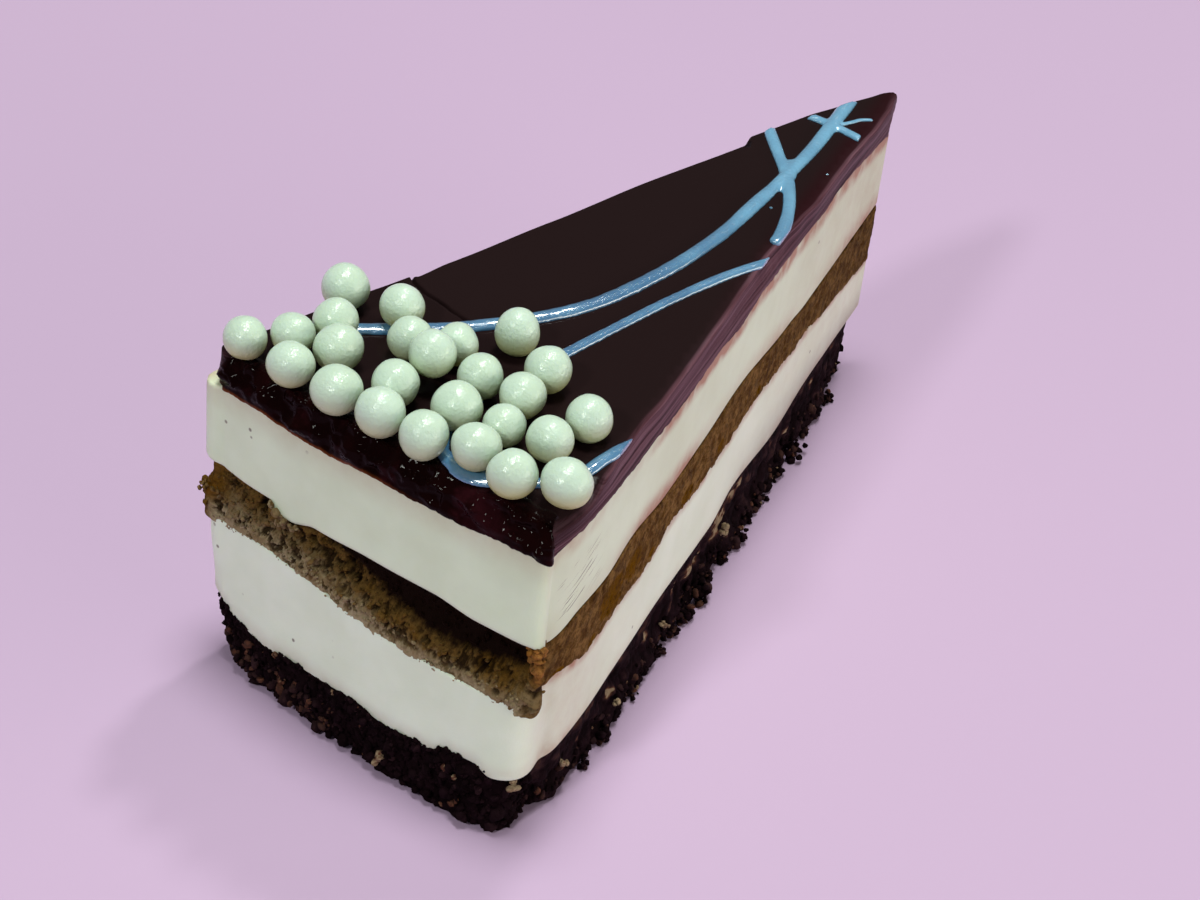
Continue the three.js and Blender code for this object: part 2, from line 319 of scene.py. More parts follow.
def padMarks(before, after, **marks):
    # marks are known on the side rows: caps take their edge row's values, fan centres take the mean
    padded = {}
    for name, rows in marks.items():
        full = np.concatenate([np.repeat(rows[:1], before, 0), rows, np.repeat(rows[-1:], after, 0)])
        padded[name] = np.concatenate([full.ravel(), [rows[0].mean()], [rows[-1].mean()]])
    return padded


def makeLayer(name, sides, cap, finish, node, slot, **marks):
    # a layer from the rows of its side, closed above and below
    shares = (*cake["capShares"], cap)
    loops = capLoops(sides[0], shares) + list(sides) + capLoops(sides[-1], shares[::-1])
    verts, faces = loftFaces(loops)
    makePiece(name, verts, faces, finish, node, padMarks(len(shares), len(shares), **marks))


# finishes

class Flow:
    def __init__(self, finish, socket):
        self.finish, self.socket = finish, socket

    def math(self, operation, a, b):
        return self.finish.node("ShaderNodeMath", {"operation": operation}, {0: a, 1: b})

    def __add__(self, other):
        return self.math("ADD", self, other)

    def __radd__(self, other):
        return self.math("ADD", other, self)

    def __sub__(self, other):
        return self.math("SUBTRACT", self, other)

    def __rsub__(self, other):
        return self.math("SUBTRACT", other, self)

    def __mul__(self, other):
        return self.math("MULTIPLY", self, other)

    def __rmul__(self, other):
        return self.math("MULTIPLY", other, self)

    def over(self, edge, width):
        # 0 below the edge, 1 above it, eased over the width
        return self.finish.node("ShaderNodeMapRange", {"interpolation_type": "SMOOTHSTEP"},
                                {"Value": self, "From Min": edge - width, "From Max": edge + width})


class Finish:
    def __init__(self, name, **constants):
        self.material = bpy.data.materials.new(name)
        self.material.use_nodes = True
        self.tree = self.material.node_tree
        self.shader = self.tree.nodes["Principled BSDF"]
        for key, value in constants.items():
            self.shader.inputs[key.replace("_", " ")].default_value = value
        self.place = self.node("ShaderNodeTexCoord", out="Object")

    def node(self, kind, settings=None, sockets=None, out=0):
        made = self.tree.nodes.new(kind)
        for key, value in (settings or {}).items():
            setattr(made, key, value)
        for key, value in (sockets or {}).items():
            if isinstance(value, Flow):
                self.tree.links.new(value.socket, made.inputs[key])
            else:
                made.inputs[key].default_value = value
        return Flow(self, made.outputs[out])

    def mark(self, name):
        return self.node("ShaderNodeAttribute", {"attribute_name": name}, out="Fac")

    def noise(self, scale, detail, rough, stretch=None, turn=(0.0, 0.0, 0.0)):
        where = self.place
        if stretch:
            where = self.node("ShaderNodeMapping", {"vector_type": "TEXTURE"},
                              {"Vector": where, "Scale": stretch, "Rotation": turn})
        return self.node("ShaderNodeTexNoise", {},
                         {"Vector": where, "Scale": scale, "Detail": detail, "Roughness": rough})

    def dots(self, scale):
        return self.node("ShaderNodeTexVoronoi", {}, {"Vector": self.place, "Scale": scale})

    def ramp(self, fac, stops):
        flow = self.node("ShaderNodeValToRGB", {}, {"Fac": fac})
        elements = flow.socket.node.color_ramp.elements
        while len(elements) < len(stops):
            elements.new(0.5)
        for element, (at, colour) in zip(elements, stops):
            element.position, element.color = at, (*colour, 1)
        return flow

    def mix(self, fac, a, b):
        a, b = [(*c, 1) if isinstance(c, tuple) else c for c in (a, b)]
        return self.node("ShaderNodeMix", {"data_type": "RGBA"}, {0: fac, 6: a, 7: b}, out=2)

    def feed(self, **inputs):
        for key, value in inputs.items():
            self.tree.links.new(value.socket, self.shader.inputs[key.replace("_", " ")])
        return self.material

    def bump(self, height, depth, strength):
        return self.node("ShaderNodeBump", {}, {"Height": height, "Distance": depth, "Strength": strength})


# loose crumbs, of the base and of the sponge
crumb = {
    "detail": 2,
    "lumps": (0.75, 0.85, 3, 3, 0.65),  # relief for a crumb of size 1
    "stretch": (0.5, 1.2),
    "toneSpread": 0.05,
    "apart": 40,  # how far apart their noise is taken
    "fullTurn": 6.28,
}


def grainMesh(rng, centres, sizes, tones):
    # irregular crumbs, all in one mesh
    base, tris = ballMesh(crumb["detail"])
    verts, faces, marks = [], [], []
    for k, (centre, size, tone) in enumerate(zip(centres, sizes, tones)):
        angle = rng.uniform(0, crumb["fullTurn"])
        turn = np.array(Matrix.Rotation(angle, 3, Vector(rng.normal(size=3)).normalized()))
        stretch = rng.uniform(*crumb["stretch"], 3)
        lumps = 1 + relief(base + crumb["apart"] * k, *crumb["lumps"])
        verts.append(centre + (base * lumps[:, None] * stretch) @ turn.T * size)
        faces.append(tris + k * len(base))
        marks.append(np.clip(tone + crumb["toneSpread"] * rng.normal(size=len(base)), 0, 1))
    return np.concatenate(verts), np.concatenate(faces).tolist(), np.concatenate(marks)


# crumb base: a craggy core, and loose crumbs stuck in its side
crust = {
    "seed": 11,
    "rounding": (4.5, 9, 7),  # of its left, right and tip corners
    "count": 1000, "rimDense": 1.6,  # points round it, and how much closer they are at the rim
    "rows": 30, "roll": (0.9, 0.4), "cap": 0.96,  # rows up its side, rolled edges, outer ring of its caps
    "rimTop": [(-27, 10.6), (-25, 9.4), (-21, 7.9), (-16, 7.4), (-11, 8.2), (-2, 8.5), (5, 7.9), (12.9, 8.2),
               (14.7, 9.8), (19, 10.0), (21, 8.9), (24, 9.4), (27, 10.0)],
    "rightTop": [(0, 10.0), (5, 9.3), (13, 9.4), (24, 9.9), (41, 10.3), (58, 9.6), (67, 11.4), (84, 9.8),
                 (97, 11.0), (123, 10.6)],
    "leftTop": [(0, 10.6), (6, 9.2), (20, 9.6), (45, 10.2), (70, 9.6), (95, 10.8), (123, 10.6)],
    "overlap": 0.3,  # how far it reaches up into the cream
    "drawnIn": 0.3,  # how far its side stands behind the outline
    # relief: depth, size, seed, octaves, fade
    "ragged": (0.8, 1.8, 5, 3, 0.6),
    "crags": (1.25, 3.6, 8, 5, 0.68),
    "lumps": (0.8, 2.1, 21),
    "swell": 0.9,  # how far the right foot swells, and where that begins and ends
    "swellWaves": (1.3, 6, 25, 2),
    "swellEnds": ((8, 25), (119, 98)),
    "knifeTook": 0.6,  # share of the crags that it took off
    "tuckLeft": 1.7, "tuckNear": 2.0, "tuckTip": 1.2,  # how far the foot is drawn in at the corners
    "rimGrains": 1300, "edgeGrains": 380, "footGrains": 700,
    "clumpGrains": 30, "bitGrains": 6,  # in each clump and bit
    "floorGap": 0.02,
    "dark": (0.0045, 0.0016, 0.0023),
    "plum": (0.014, 0.0055, 0.008),
    "sliced": (0.034, 0.0155, 0.0175),
    "brown": (0.055, 0.026, 0.020),
    "rust": (0.12, 0.045, 0.028),
    "biscuit": (0.36, 0.27, 0.17),
    "biscuitTone": 0.88,
    # clumps that stand out at the right foot: distance from the rim, size
    "clumps": [(15, 1.0), (20.5, 1.6), (26, 0.8), (31, 1.1), (36, 0.8), (40, 1.1), (45, 1.3), (49, 1.8),
               (54.5, 2.2), (59, 1.2), (64, 1.4), (69, 1.9), (74, 1.2), (79, 1.4), (86, 1.1), (93, 1.9),
               (99, 1.1), (109, 1.3)],
    # biscuit that the knife laid open on the right: distance from the rim, height, size
    "laidOpen": [(63.9, 7.4, 1.7), (61.4, 6.4, 1.4), (55.7, 5.6, 1.0), (52.1, 6.2, 1.3), (46.5, 7.0, 0.8),
                 (45.0, 4.6, 0.9), (24.2, 5.2, 0.9), (15.0, 4.6, 0.7), (91, 5.4, 0.9), (84.1, 7.9, 0.8),
                 (70.8, 9.2, 1.0), (68.3, 8.4, 1.0), (36, 6.0, 0.7), (102, 7.5, 0.8)],
    # pale and reddish bits that show: x, y, z, size, tone
    "bits": [
        (5.2, -3.5, 2.7, 1.15, 0.82), (24.1, -1.2, 7.7, 1.1, 0.86), (-7.0, -2.9, 3.8, 0.7, 0.72),
        (17.4, -4.0, 2.9, 0.7, 0.72), (-14.1, -1.9, 7.4, 0.5, 0.74), (-12.6, -2.2, 4.2, 0.6, 0.72),
        (13.3, 62.6, 5.6, 0.9, 0.9), (22.3, 23.7, 3.9, 0.6, 0.9), (24.9, 8.9, 4.9, 0.7, 0.86),
        (18.6, 40.3, 4.6, 0.6, 0.85),
    ],
}


def crustFinish():
    f = Finish("cocoaCrumb", Specular_IOR_Level=0.03)
    fine = f.noise(900, 5, 0.65)
    colour = f.ramp(f.mark("tone"), [
        (0.0, crust["dark"]), (0.3, crust["plum"]), (0.48, crust["sliced"]),
        (0.62, crust["brown"]), (0.75, crust["rust"]), (crust["biscuitTone"], crust["biscuit"]),
    ])
    colour = f.mix(fine.over(0.55, 0.18), colour, f.mix(0.5, colour, crust["dark"]))
    return f.feed(Base_Color=colour, Roughness=0.95 - 0.3 * fine, Normal=f.bump(fine, 0.0004, 0.9))


def makeCrumbs(name, rng, centres, sizes, tones, finish):
    verts, faces, tone = grainMesh(rng, *(np.concatenate(parts) for parts in (centres, sizes, tones)))
    verts[:, 2] = np.maximum(verts[:, 2], crust["floorGap"])
    makePiece(name, verts, faces, finish, None, {"tone": tone})


def sideRow(level, sides):
    # number of the row at a share of a side's height, without its rolled edges
    skipped = cake["rollRows"]
    return (skipped + level * (len(sides) - 2 * skipped - 1)).astype(int)


def buildCrust(finish):
    ring = outline(crust)
    low = np.zeros(crust["count"])
    high = edgeLine(ring, crust, "Top") + crust["overlap"]
    high = high + ring.rim * relief(ring.flat, *crust["ragged"])
    points, inset, share = sideRows(ring, low, high, crust)

    # crags with lumps on them, swollen at the right foot and flatter high up where the knife went
    depth, size, seed = crust["lumps"]
    near, value = cellNoise(points + relief(points, 0.8, 1.2, 23, 2)[..., None], size, seed)
    crag = relief(points, *crust["crags"]) + depth * (0.5 - near) * (0.5 + value)
    begin, end = crust["swellEnds"]
    foot = ring.right * smooth(0.5, 0.05, share) * smooth(*begin, ring.inward) * smooth(*end, ring.inward)
    crag = crag + foot * (crust["swell"] + relief(points, *crust["swellWaves"]))
    cutClean = ring.cut * smooth(0.5, 0.9, share)
    out = bodyShift(ring, points[..., 2], 0.0) + crag * (1 - crust["knifeTook"] * cutClean)
    out = out - crust["drawnIn"] - inset
    out = out - crust["tuckLeft"] * (1 - share) * smooth(-20, -26, ring.x)
    chamfer = 4 * ring.rim * (1 - ring.rim) * (ring.nx > 0)
    out = out - crust["tuckNear"] * chamfer * (1 - 0.6 * share)
    out = out - crust["tuckTip"] * smooth(100, 121, ring.y) * (1 - share)
    sides = pushOut(ring, points, out)

    # biscuit streaks where the knife went through
    streak = roughNoise(stretched(points, 0.9, 0.6, 1.2), 1.2, 77, 4, 0.65)
    patch = smooth(-0.25, 0.3, roughNoise(stretched(points, 1, 1, 0.3), 13, 78, 2))
    pale = smooth(0.18, 0.32, streak) * patch * (ring.left + 0.35 * ring.right)
    laidOpen = spotMask(ring, points, crust["laidOpen"], (1.7, 1.25), (0.2, 0.85), 1.2 * streak)
    pale = np.maximum(pale, laidOpen) * smooth(0.2, 0.4, share) * smooth(0.99, 0.9, share)
    mottle = roughNoise(points, 2.2, 31, 3, 0.6)
    # darker in the crevices between the lumps on the cut sides: painted shade
    crevice = smooth(0.45, 0.75, near)
    tone = 0.08 + 0.22 * mottle + ring.cut * (0.16 + 0.3 * streak - 0.3 * crevice)
    tone = np.clip(tone + cutClean * (0.2 + 0.35 * streak), 0, 0.6)
    tone = tone + (crust["biscuitTone"] - tone) * pale
    makeLayer("crumbBase", sides, crust["cap"], finish, "crumb_base", "crumb", tone=tone)
    rng = np.random.default_rng(crust["seed"])
    scatterRim(rng, ring, sides, high, finish)
    scatterFoot(rng, ring, sides, finish)


def scatterRim(rng, ring, sides, high, finish):
    # crumbs all over the rim, finer ones along its upper edge, and the few pale ones
    count = crust["rimGrains"] + crust["edgeGrains"]
    level = np.where(np.arange(count) < crust["rimGrains"], rng.random(count) ** 1.2, 1.0)
    at = rng.choice(np.flatnonzero(ring.rim > 0.5), count)
    size = 0.16 + 0.6 * rng.random(count) ** 2.6 + 0.2 * (1 - level) * rng.random(count)
    size = np.where(level == 1, rng.uniform(0.12, 0.42, count), size)
    size = np.where((rng.random(count) < 0.03) & (level < 0.4), size + 0.6, size)
    out = size * rng.uniform(-0.3, 0.4, count)
    centres = sides[sideRow(level, sides), at]
    centres = centres + np.stack([ring.nx[at] * out, ring.ny[at] * out, 0 * out], -1)
    ceiling = high[at] - 0.6 * size + 0.7 * (level == 1) * rng.random(count)
    centres[:, 2] = np.clip(centres[:, 2], 0.8 * size, np.maximum(ceiling, 0.8 * size))
    tones = np.clip(rng.normal(0.12, 0.12, count), 0, 0.45)
    lowLeft = (centres[:, 0] < -3) & (centres[:, 2] < 5) & (rng.random(count) < 0.36)
    tones = np.where(lowLeft, rng.uniform(0.4, 0.72, count), tones)
    tones = np.where(rng.random(count) < 0.012, rng.uniform(0.66, 0.82, count), tones)
    bits = np.repeat(np.array(crust["bits"]), crust["bitGrains"], axis=0)
    bits[:, :3] += bits[:, 3:4] * rng.uniform(-0.7, 0.7, (len(bits), 3))
    sizes = (size, 0.55 * bits[:, 3])
    makeCrumbs("rimCrumbs", rng, (centres, bits[:, :3]), sizes, (tones, bits[:, 4]), finish)


def scatterFoot(rng, ring, sides, finish):
    # crumbs at the foot of the cut sides: scattered ones, and clumps, half as many on the left
    count = crust["footGrains"]
    at = rng.choice(np.flatnonzero(ring.cut >= 0.5), count)
    level = 0.36 * rng.random(count) ** 1.3
    size = 0.2 + 0.6 * rng.random(count) ** 2.4
    side = np.array([-half, length])
    side = side / np.linalg.norm(side)
    inward, bulk = np.repeat(np.array(crust["clumps"]), crust["clumpGrains"], axis=0).T
    spread = rng.normal(size=(len(bulk), 3)) * np.array([0.35, 0.5, 0.35]) * bulk[:, None]
    offset = 0.35 * bulk + np.abs(spread[:, 0])
    height = np.maximum(0.5 * bulk + spread[:, 2], 0.2)
    x = half + side[0] * (inward + spread[:, 1]) + side[1] * offset
    y = side[1] * (inward + spread[:, 1]) - side[0] * offset
    bulk = bulk * rng.uniform(0.14, 0.42, len(bulk))
    clumps, behind = np.stack([x, y, height], -1), np.stack([-x, y, height], -1)[::2]
    total = count + len(clumps) + len(behind)
    tones = np.where(rng.random(total) < 0.3, rng.uniform(0.45, 0.66, total), 0.25 * rng.random(total))
    tones = np.where(rng.random(total) < 0.03, rng.uniform(0.68, 0.85, total), tones)
    centres = (sides[sideRow(level, sides), at], clumps, behind)
    makeCrumbs("footCrumbs", rng, centres, (size, bulk, bulk[::2]), (tones,), finish)


# the two cream layers
cream = {
    "count": 720, "rimDense": 1.0, "rows": 30, "cap": 0.97,
    "over": 0.35,  # how far each reaches up into the next layer
    "leftEnd": (24, 0),  # they bulge on the left from here to the rim
    "tan": (0.40, 0.21, 0.125),
    "shade": (0.26, 0.235, 0.20),
    "speck": (0.10, 0.06, 0.04),
    "leftWarm": 0.07,
    "lower": {
        "rounding": (2.8, 7.0, 1.2),
        "roll": (0.5, 0.3),
        "under": 0.5,  # how far it reaches down into the layer below
        "overRim": 0.4,
        "waves": (0.18, 0.12, 9, 41),  # depth at the rim, how much less it is on the cut sides, size, seed
        "bulge": 0.75,
        "footTuck": 0.25,
        "tones": ((0.82, 0.925, 0.765), (0.76, 0.865, 0.69)),
        # how tan the right side is, by distance from the rim
        "warm": [(0, 0.25), (10, 0.26), (22, 0.10), (45, 0.02), (70, 0.08), (90, 0.2), (123, 0.28)],
    },
    "upper": {
        "rounding": (2.2, 3.1, 1.0),
        "roll": (0.8, 0.5),
        "under": 0.25,
        "leftLift": 1.0,
        "waves": (0.16, 0.1, 8, 43),
        "bulge": 1.3,
        # darker than the lower layer's tones: painted shade on the upper layer
        "tones": ((0.74, 0.855, 0.66), (0.68, 0.785, 0.585)),
        "warm": [(0, 0.05), (20, 0.03), (40, 0.08), (70, 0.05), (95, 0.21), (123, 0.34)],
        # the haze above the sponge and the stain under the glaze there
        "haze": [(0, 0.3), (5, 0.05), (14, 0.15), (22, 0.45), (30, 1.1), (40, 1.2), (50, 0.25), (62, 0.25),
                 (75, 0.5), (90, 0.1), (123, 0.5)],
        "edging": [(0, 0.8), (8, 0.6), (16, 0.2), (24, 0.3), (35, 1.3), (50, 1.9), (70, 1.9), (90, 1.4),
                   (123, 1.4)],
    },
}


def creamFinish(name, tones):
    f = Finish(name, Subsurface_Weight=0.25, Subsurface_Scale=0.0012,
               Subsurface_Radius=(1.0, 0.8, 0.55), Specular_IOR_Level=0.4)
    cloud, fine = f.noise(120, 3, 0.5), f.noise(2600, 3, 0.6)
    colour = f.mix(cloud.over(0.5, 0.22), *tones)
    # tan stains; just under the glaze on the upper layer's rim this is partly painted shade of the glaze's
    # overhang
    stain = f.mark("stain") * (0.4 + 1.1 * f.noise(420, 4, 0.6))
    colour = f.mix(stain, colour, cream["tan"])
    colour = f.mix(f.mark("grey") * (0.6 + 0.8 * cloud), colour, cream["shade"])
    dot = (1 - f.dots(230).over(0.06, 0.02)) * f.noise(75, 1, 0.4).over(0.5, 0.03)
    colour = f.mix(0.75 * dot, colour, cream["speck"])
    drag = f.noise(190, 1, 0.5, (1.0, 1.0, 0.035), (0.3, 0.0, 0.22))  # knife marks, rising towards the tip
    scuff = f.mark("scuff") * drag.over(0.66, 0.03)
    colour = f.mix(0.9 * scuff, colour, cream["speck"])
    height = 0.5 * fine + 0.6 * cloud - 0.8 * scuff
    return f.feed(Base_Color=colour, Roughness=0.36 + 0.2 * fine, Normal=f.bump(height, 0.00012, 0.5))


def creamSide(layer, ring, low, high):
    # the soft side of a layer, and its bulge at the left end
    points, inset, share = sideRows(ring, low, high, layer)
    depth, less, grain, seed = layer["waves"]
    out = bodyShift(ring, points[..., 2]) - inset
    out = out + (depth - less * ring.cut) * roughNoise(points, grain, seed, 2)
    bulge = layer["bulge"] * smooth(0.2, 0.8, -ring.nx) * smooth(*layer["leftEnd"], ring.y)
    warm = layer["leftWarm"] * ring.left + ring.right * through(layer["warm"], ring.inward)
    return points, share, out, bulge, warm


def buildLowerCream():
    layer = {**cream, **cream["lower"]}
    ring = outline(layer)
    low = edgeLine(ring, crust, "Top") - layer["under"]
    high = edgeLine(ring, sponge, "Low") + layer["over"] + layer["overRim"] * ring.rim
    points, share, out, bulge, warm = creamSide(layer, ring, low, high)
    out = out + bulge * smooth(0.1, 0.9, share)
    sides = pushOut(ring, points, out - layer["footTuck"] * ring.rim * smooth(0.2, 0.0, share))
    fringe = 0.5 + 0.5 * roughNoise(points, 2.2, 45, 3, 0.6)
    footing = 0.4 + 0.3 * smooth(55, 75, ring.inward) + 0.35 * ring.right * smooth(16, 5, ring.inward)
    stain = warm + 1.1 * ring.cut * fringe * smooth(0.84, 0.98, share)
    stain = stain + footing * fringe * smooth(0.25, 0.0, share)
    grey = 0.5 * ring.right * smooth(52, 85, ring.inward) * smooth(0.65, 0.0, share)
    finish = creamFinish("lowerCream", layer["tones"])
    makeLayer("lowerCream", sides, layer["cap"], finish, "lower_cream", "cream",
              stain=stain, grey=grey, scuff=0 * share)


def buildUpperCream():
    # it hangs over the sponge at the rim
    layer = {**cream, **cream["upper"]}
    ring = outline(layer)
    low = edgeLine(ring, sponge, "High") - layer["under"]
    low = low + layer["leftLift"] * smooth(-24.5, -27.2, ring.x)
    high = edgeLine(ring, glaze, "Low") + layer["over"]
    points, share, out, bulge, warm = creamSide(layer, ring, low, high)
    sides = pushOut(ring, points, out + bulge)
    patchy = smooth(0.2, 0.7, 0.5 + 0.5 * roughNoise(stretched(points, 1, 0.4, 1), 7, 51, 2))
    haze = ring.left * 0.5 * patchy
    haze = haze + ring.right * through(layer["haze"], ring.inward) * (0.6 + 0.6 * patchy)
    fringe = 0.5 + 0.5 * roughNoise(points, 1.8, 46, 3, 0.6)
    edging = ring.left + ring.right * through(layer["edging"], ring.inward)
    edging = edging * smooth(0.76, 0.93, share)
    stain = warm + ring.cut * (1.6 * haze * smooth(0.36, 0.0, share) ** 1.3 + 1.1 * fringe * edging)
    # on the rim: a little tan at its foot, and tan just under the glaze that is part stain, part painted
    # shade of the glaze's overhang
    stain = stain + ring.rim * (0.15 * smooth(0.06, 0.0, share) + 0.3 * smooth(0.62, 1.0, share))
    scuff = ring.right * smooth(3, 5, ring.inward) * smooth(16, 11, ring.inward)
    scuff = scuff * smooth(0.1, 0.25, share) * smooth(0.75, 0.6, share)
    finish = creamFinish("upperCream", layer["tones"])
    makeLayer("upperCream", sides, layer["cap"], finish, "upper_cream", "cream",
              stain=stain, grey=0 * share, scuff=scuff)


# coffee-soaked sponge, torn at the rim
sponge = {
    "seed": 29,
    "rounding": (2.0, 1.5, 1.2),
    "count": 1400, "rimDense": 2.0, "rows": 34, "roll": (0.3, 0.2), "cap": 0.95,
    "rimLow": [(-27, 21.8), (-17, 22.5), (-9, 21.9), (-2, 20.8), (7, 20.2), (15, 20.3), (27, 20.1)],
    "rimHigh": [(-27, 31.1), (-21, 30.8), (-16.2, 30.9), (-15.2, 29.5), (-13, 29.5), (-8.5, 30.8),
                (0, 31.2), (10, 31.2), (17, 30.4), (23.6, 30.2), (26.6, 28.8), (27, 28.7)],
    "rightLow": [(0, 21.0), (4, 22.6), (14, 20.6), (22, 21.1), (31, 20.8), (41, 22.9), (49, 21.9),
                 (60, 22.3), (71, 23.1), (89, 22.3), (105, 20.7), (123, 18.8)],
    "rightHigh": [(0, 28.7), (3, 28.9), (9, 29.9), (17, 29.6), (25, 30.6), (36, 29.5), (48, 29.7),
                  (63, 30.7), (83, 29.0), (90, 28.4), (97, 28.4), (123, 28.5)],
    "leftLow": [(0, 21.8), (20, 22.4), (45, 21.0), (70, 22.6), (95, 21.2), (123, 18.8)],
    "leftHigh": [(0, 30.8), (25, 30.0), (50, 30.6), (80, 29.2), (123, 28.5)],
    "raggedLow": (0.6, 61, 1.5),  # unevenness, seed, size
    "raggedHigh": (0.25, 62),
    "overRim": 0.6,
    "setBack": (0.9, 3.0),  # how deep its upper half is set back at the rim, left and right
    "setBackEnd": (25.4, 23.2),
    "leftBulge": 1.6,
    "coarse": 1.3, "ridge": 0.9, "pore": 0.8, "hole": 1.3,  # depth of its relief at the rim
    # share of the rim's height above which it is soaked and in painted shade under the upper cream, by x
    "soakAndShade": [(-27, 1.0), (-22, 0.96), (-18, 0.86), (-15.6, 0.88), (-14, 1.0), (-11, 0.96), (-6.7, 0.78),
             (-2, 0.64), (4, 0.5), (9.5, 0.42), (15.5, 0.42), (21.5, 0.5), (23.6, 0.56), (24.8, 1.0),
             (27, 1.0)],
    # lumps that stick out over the cream's edge: x, y, z, size
    "lumps": [(-15.7, -1.3, 30.4, 0.8), (-15.0, -1.5, 29.6, 0.8), (-13.6, -1.6, 29.2, 0.7),
              (-12.4, -1.5, 29.0, 0.6), (-14.4, -1.5, 28.7, 0.8), (-11.4, -1.7, 29.5, 0.5),
              (-8.6, -2.2, 26.4, 0.6)],
    "lumpCrumbs": 5, "rimCrumbs": 820,
    "crumbRows": (6, 15),  # the first row of the rim's crumbs, and how many rows have none
    # crumbs at its two corners: how many, centre, spread
    "leftEnd": (34, (-28.1, 0.2, 25.6), (0.7, 0.8, 1.9)),
    "nearEnd": (56, (24.9, -0.5, 29.0), (0.9, 0.6, 1.0)),
    # coffee spots on the right: distance from the rim, height, size
    "spots": [(19.4, 24.8, 4.0), (26.4, 25.2, 3.2), (45.2, 23.8, 2.0), (14.0, 21.6, 1.3), (57.4, 24.2, 1.3),
              (5.1, 22.6, 1.4), (33, 22.6, 1.0), (72, 24.6, 1.0)],
    # near black: soaked sponge in painted shade under the upper cream and in its pits
    "soakedAndShaded": (0.0065, 0.0022, 0.0010),
    "coffee": (0.145, 0.082, 0.022),
    "cocoa": (0.088, 0.040, 0.009),
    "tawny": (0.23, 0.125, 0.040),
    "amber": (0.135, 0.058, 0.001),
    "crumb": (0.41, 0.34, 0.21),
    "orange": (0.36, 0.15, 0.04),
}


def spongeFinish():
    f = Finish("coffeeSponge", Subsurface_Weight=0.1, Subsurface_Scale=0.0008,
               Subsurface_Radius=(1.0, 0.6, 0.3), Specular_IOR_Level=0.03)
    wetAndShade, pale = f.mark("wetAndShade"), f.mark("pale")
    blotch, fine = f.noise(520, 4, 0.6), f.noise(1700, 4, 0.7)
    fibre = f.noise(620, 5, 0.8, (0.8, 1.0, 0.8), (0.3, 0.0, 0.22))  # drawn out by the knife
    colour = f.mix(pale * (0.5 + 0.8 * blotch), sponge["coffee"], sponge["crumb"])
    sliced = f.mix((0.5 * fibre + 0.5 * blotch).over(0.5, 0.1), sponge["cocoa"], sponge["tawny"])
    colour = f.mix(f.mark("cutSide"), colour, sliced)
    colour = f.mix(f.mark("gold") * (0.85 + 0.5 * blotch), colour, sponge["amber"])
    colour = f.mix(f.mark("orange") * (0.6 + 0.6 * blotch), colour, sponge["orange"])
    colour = f.mix(fine.over(0.56, 0.14) * (1 - 0.7 * pale), colour, f.mix(0.6, colour, sponge["soakedAndShaded"]))
    # painted shade with the soaking: the recess under the upper cream and the pits, pores and holes go near
    # black
    colour = f.mix(wetAndShade, colour, sponge["soakedAndShaded"])
    bump = f.bump(fine + 0.6 * blotch, 0.0004, 0.9)
    return f.feed(Base_Color=colour, Roughness=0.85 - 0.3 * wetAndShade, Normal=bump)


